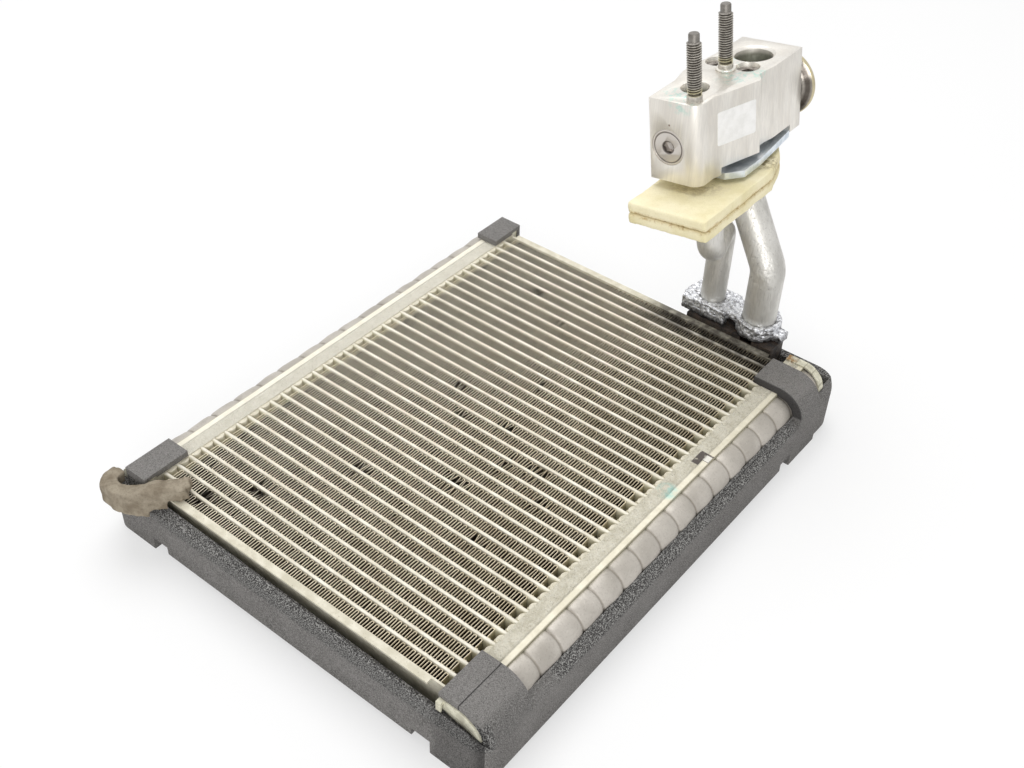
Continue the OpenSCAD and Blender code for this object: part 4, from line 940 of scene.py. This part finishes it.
dress(label, label_finish.close(
    colour=label_finish.blend(fade, paint(236, 235, 232), paint(247, 246, 244)), rough=0.5, metal=0.0))
fit(label, "block")


# Adjusting plug. A round plug screwed into the near face, with a hexagon socket and a
# turned groove round its rim.
plug = skin_of("valve_plug", "adjusting_plug")
eased(plug, 0.3)
bpy.ops.object.shade_smooth_by_angle(angle=0.5)
plug_finish = Finish("plug_turned")
turned = plug_finish.away(at_valve(8.6, 0.2, -20.3))
# Painted shade: the groove and the hexagon socket are painted dark
groove = plug_finish.span(abs(turned - 6.6 * MM), 0.15 * MM, 0.4 * MM, 1.0, 0.0)
socket = plug_finish.span(turned, 2.6 * MM, 3.2 * MM, 1.0, 0.0)
steel = plug_finish.blend(groove * 0.75, paint(212, 206, 200), paint(92, 84, 78))
steel = plug_finish.blend(socket * 0.85, steel, paint(74, 66, 62))
dress(plug, plug_finish.close(
    colour=steel, rough=0.36, metal=0.8, normal=plug_finish.relief(1.0 - groove, 0.3, 1.0)))
fit(plug, "block", "valve_plug")


# Power head. Two pressed steel shells welded at the rim, with a yellow passivated edge
# and a polished cone between, and a ring of painted shade just inside the edge.
head = skin_of("power_head", "power_head_shells")
eased(head, 0.5, 0.5)
bpy.ops.object.shade_smooth_by_angle(angle=0.5)
head_finish = Finish("head_passivated")
out = head_finish.away(at_valve(17.4, 78.6, -19.6))
gold = head_finish.span(out, 14.6 * MM, 15.2 * MM)
inner_ring_shade = head_finish.span(abs(out - 13.2 * MM), 0.5 * MM, 1.4 * MM, 1.0, 0.0)
cloud = head_finish.span(head_finish.grain(6.0, 3.0), 0.3, 0.7)
shell = head_finish.blend(cloud, paint(120, 114, 106), paint(168, 162, 154))
shell = head_finish.blend(inner_ring_shade * 0.75, shell, paint(58, 50, 44))
shell = head_finish.blend(gold * 0.8, shell, paint(212, 200, 164))
dress(head, head_finish.close(colour=shell, rough=0.24, metal=0.95))
fit(head, "head", "power_head")


# Studs. Steel studs with a phosphated M6 thread and a dog point. The thread is its profile
# swept up the stud, turn by turn.
stud_pitch = 1.0
stud_turns = 21
thread_from = 2.8
stud_places = ((18.5, 5.0), (12.4, 38.4))
stud_pieces = []
for stud_x, stud_y in stud_places:
    bpy.ops.object.select_all(action="DESELECT")
    bpy.ops.mesh.primitive_grid_add(x_subdivisions=1, y_subdivisions=4, size=1.0)
    thread = bpy.context.object
    choose(thread, "VERT", lambda spot: spot.x > 0.0)
    bpy.ops.mesh.delete(type="VERT")
    bpy.ops.object.mode_set(mode="OBJECT")
    profile = [(2.36, 0.0), (2.36, 0.1), (3.05, 0.44), (3.05, 0.6), (2.36, 0.94)]
    spots = points_of(thread)
    order = np.round((spots[:, 1] + 0.5) * 4).astype(int)
    move_points(thread, [(profile[i][0] * MM, 0.0, profile[i][1] * MM) for i in order])
    applied(thread, "SCREW", angle=2 * math.pi, screw_offset=stud_pitch * MM, iterations=stud_turns,
            steps=28, render_steps=28, axis="Z", use_merge_vertices=False, use_smooth_shade=True)
    thread.data.transform(Matrix.Translation((0, 0, thread_from * MM)))
    # The stud's core: shank, root of the thread, taper and dog point
    bpy.ops.object.select_all(action="DESELECT")
    bpy.ops.mesh.primitive_cylinder_add(
        vertices=40, radius=3.2 * MM, depth=1.0 * MM, location=(0, 0, 0.5 * MM))
    core = bpy.context.object
    settle(core, "stud_core")
    steps = [(3.2, 2.3), (2.7, 2.8), (2.4, 3.0), (2.4, 23.9), (2.25, 24.3), (2.25, 27.3), (1.95, 27.8)]
    choose(core, "FACE", lambda face: face.normal.z > 0.9)
    for radius, height in steps:
        bpy.ops.mesh.extrude_region_move(TRANSFORM_OT_translate={"value": (0, 0, 0.0001)})
        bpy.ops.object.mode_set(mode="OBJECT")
        spots = points_of(core)
        chosen = np.array([v.select for v in core.data.vertices])
        spread = np.hypot(spots[:, 0], spots[:, 1])
        scale = np.where(chosen, radius * MM / np.maximum(spread, 1e-9), 1.0)
        spots[:, 0] *= scale
        spots[:, 1] *= scale
        spots[chosen, 2] = height * MM
        move_points(core, spots)
        bpy.ops.object.mode_set(mode="EDIT")
    bpy.ops.object.mode_set(mode="OBJECT")
    for piece in (thread, core):
        piece.data.transform(VALVE @ Matrix.Translation((stud_x * MM, stud_y * MM, 0)))
        stud_pieces.append(piece)
studs = joined(stud_pieces)
settle(studs, "stud_threads")
bpy.ops.object.mode_set(mode="EDIT")
bpy.ops.mesh.select_all(action="SELECT")
bpy.ops.mesh.remove_doubles(threshold=1e-6)
bpy.ops.mesh.normals_make_consistent(inside=False)
bpy.ops.object.mode_set(mode="OBJECT")
bpy.ops.object.shade_smooth_by_angle(angle=0.6)
stud_finish = Finish("stud_phosphate")
own = stud_finish.moved(shift=tuple(VALVE.inverted().to_translation()), turn=(0, valve_lean, 0))
up = stud_finish.add("ShaderNodeSeparateXYZ", {}, {0: own}, 2)
flat = stud_finish.add("ShaderNodeVectorMath", {"operation": "MULTIPLY"}, {0: own, 1: (1.0, 1.0, 0.0)})
axes = [stud_finish.add("ShaderNodeVectorMath", {"operation": "DISTANCE"}, {
    0: flat, 1: (x * MM, y * MM, 0.0)}, "Value") for x, y in stud_places]
# Painted shade in the roots of the thread
root = stud_finish.span(axes[0].capped(axes[1]), 2.45 * MM, 2.95 * MM, 1.0, 0.0)
root = root * stud_finish.span(up, 2.6 * MM, 3.0 * MM)
root = root * stud_finish.span(up, 23.8 * MM, 24.0 * MM, 1.0, 0.0)
yellow = stud_finish.span(up, 4.4 * MM, 6.6 * MM, 1.0, 0.0) * stud_finish.span(up, 2.3 * MM, 3.0 * MM)
point = stud_finish.span(up, 23.6 * MM, 24.4 * MM)
patch = stud_finish.span(stud_finish.grain(2.0, 3.0), 0.35, 0.65)
steel = stud_finish.blend(patch, paint(168, 163, 154), paint(202, 197, 188))
steel = stud_finish.blend(yellow * 0.5, steel, paint(214, 204, 150))
steel = stud_finish.blend(root * 0.88, steel, paint(58, 52, 46))
steel = stud_finish.blend(point * 0.75, steel, paint(98, 94, 90))
dress(studs, stud_finish.close(colour=steel, rough=0.45, metal=0.7))
fit(studs, "stud", "studs")


# Valve screws. Socket screws sunk in the block's top, which hold the retaining plate.
screw_finish = Finish("screw_steel")
tarnish = screw_finish.span(screw_finish.grain(1.5, 3.0), 0.35, 0.65)
dress(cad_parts["valve_screws"], screw_finish.close(
    colour=screw_finish.blend(tarnish, paint(120, 112, 106), paint(176, 170, 164)), rough=0.4, metal=0.7))


# Studio. A plain pale sheet to lie on, one broad lamp overhead, a weaker one from the
# camera's side, and even light all round.
bpy.ops.object.select_all(action="DESELECT")
bpy.ops.mesh.primitive_plane_add(size=8.0, location=(0, 0, 0))
sheet = bpy.context.object
sheet.name = "pale_sheet"
sheet_finish = Finish("sheet_white")
sheet_finish.close(colour=(0.9, 0.9, 0.9, 1.0), rough=0.9, shine=0.1)
tree = sheet_finish.tree
path = tree.nodes.new("ShaderNodeLightPath")
glow = tree.nodes.new("ShaderNodeEmission")
glow.inputs[0].default_value = (1.0, 1.0, 1.0, 1.0)
glow.inputs[1].default_value = 1.0
halves = tree.nodes.new("ShaderNodeMixShader")
finish_out = next(n for n in tree.nodes if n.type == "OUTPUT_MATERIAL")
seen = Tone(sheet_finish, path.outputs["Is Camera Ray"]) * 0.55
tree.links.new(seen.socket, halves.inputs[0])
tree.links.new(sheet_finish.shader.outputs[0], halves.inputs[1])
tree.links.new(glow.outputs[0], halves.inputs[2])
tree.links.new(halves.outputs[0], finish_out.inputs[0])
dress(sheet, sheet_finish.material)
sheet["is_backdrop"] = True

world = bpy.data.worlds.new("studio")
bpy.context.scene.world = world
world.use_nodes = True
air = world.node_tree
back = next(n for n in air.nodes if n.type == "BACKGROUND")
back.inputs[0].default_value = (1.0, 1.0, 1.0, 1.0)
rays = air.nodes.new("ShaderNodeLightPath")
shown = air.nodes.new("ShaderNodeMath")
shown.operation = "MAXIMUM"
air.links.new(rays.outputs["Is Camera Ray"], shown.inputs[0])
air.links.new(rays.outputs["Is Glossy Ray"], shown.inputs[1])
level = air.nodes.new("ShaderNodeMapRange")
level.inputs["To Min"].default_value = 0.55
level.inputs["To Max"].default_value = 0.95
air.links.new(shown.outputs[0], level.inputs["Value"])
air.links.new(level.outputs[0], back.inputs[1])

for name, spot, size, power in (
        ("lamp_over", (-0.35, 0.25, 1.3), 1.1, 11.0),
        ("lamp_front", (1.0, -1.3, 0.8), 1.0, 11.0)):
    lamp = bpy.data.lights.new(name, "AREA")
    lamp.shape = "DISK"
    lamp.size = size
    lamp.energy = power
    holder = bpy.data.objects.new(name, lamp)
    bpy.context.scene.collection.objects.link(holder)
    holder.location = spot
    holder.rotation_mode = "QUATERNION"
    holder.rotation_quaternion = (Vector((0, 0, 0.05)) - Vector(spot)).to_track_quat("-Z", "Y")

bpy.context.scene.view_settings.view_transform = "Standard"

low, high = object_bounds()
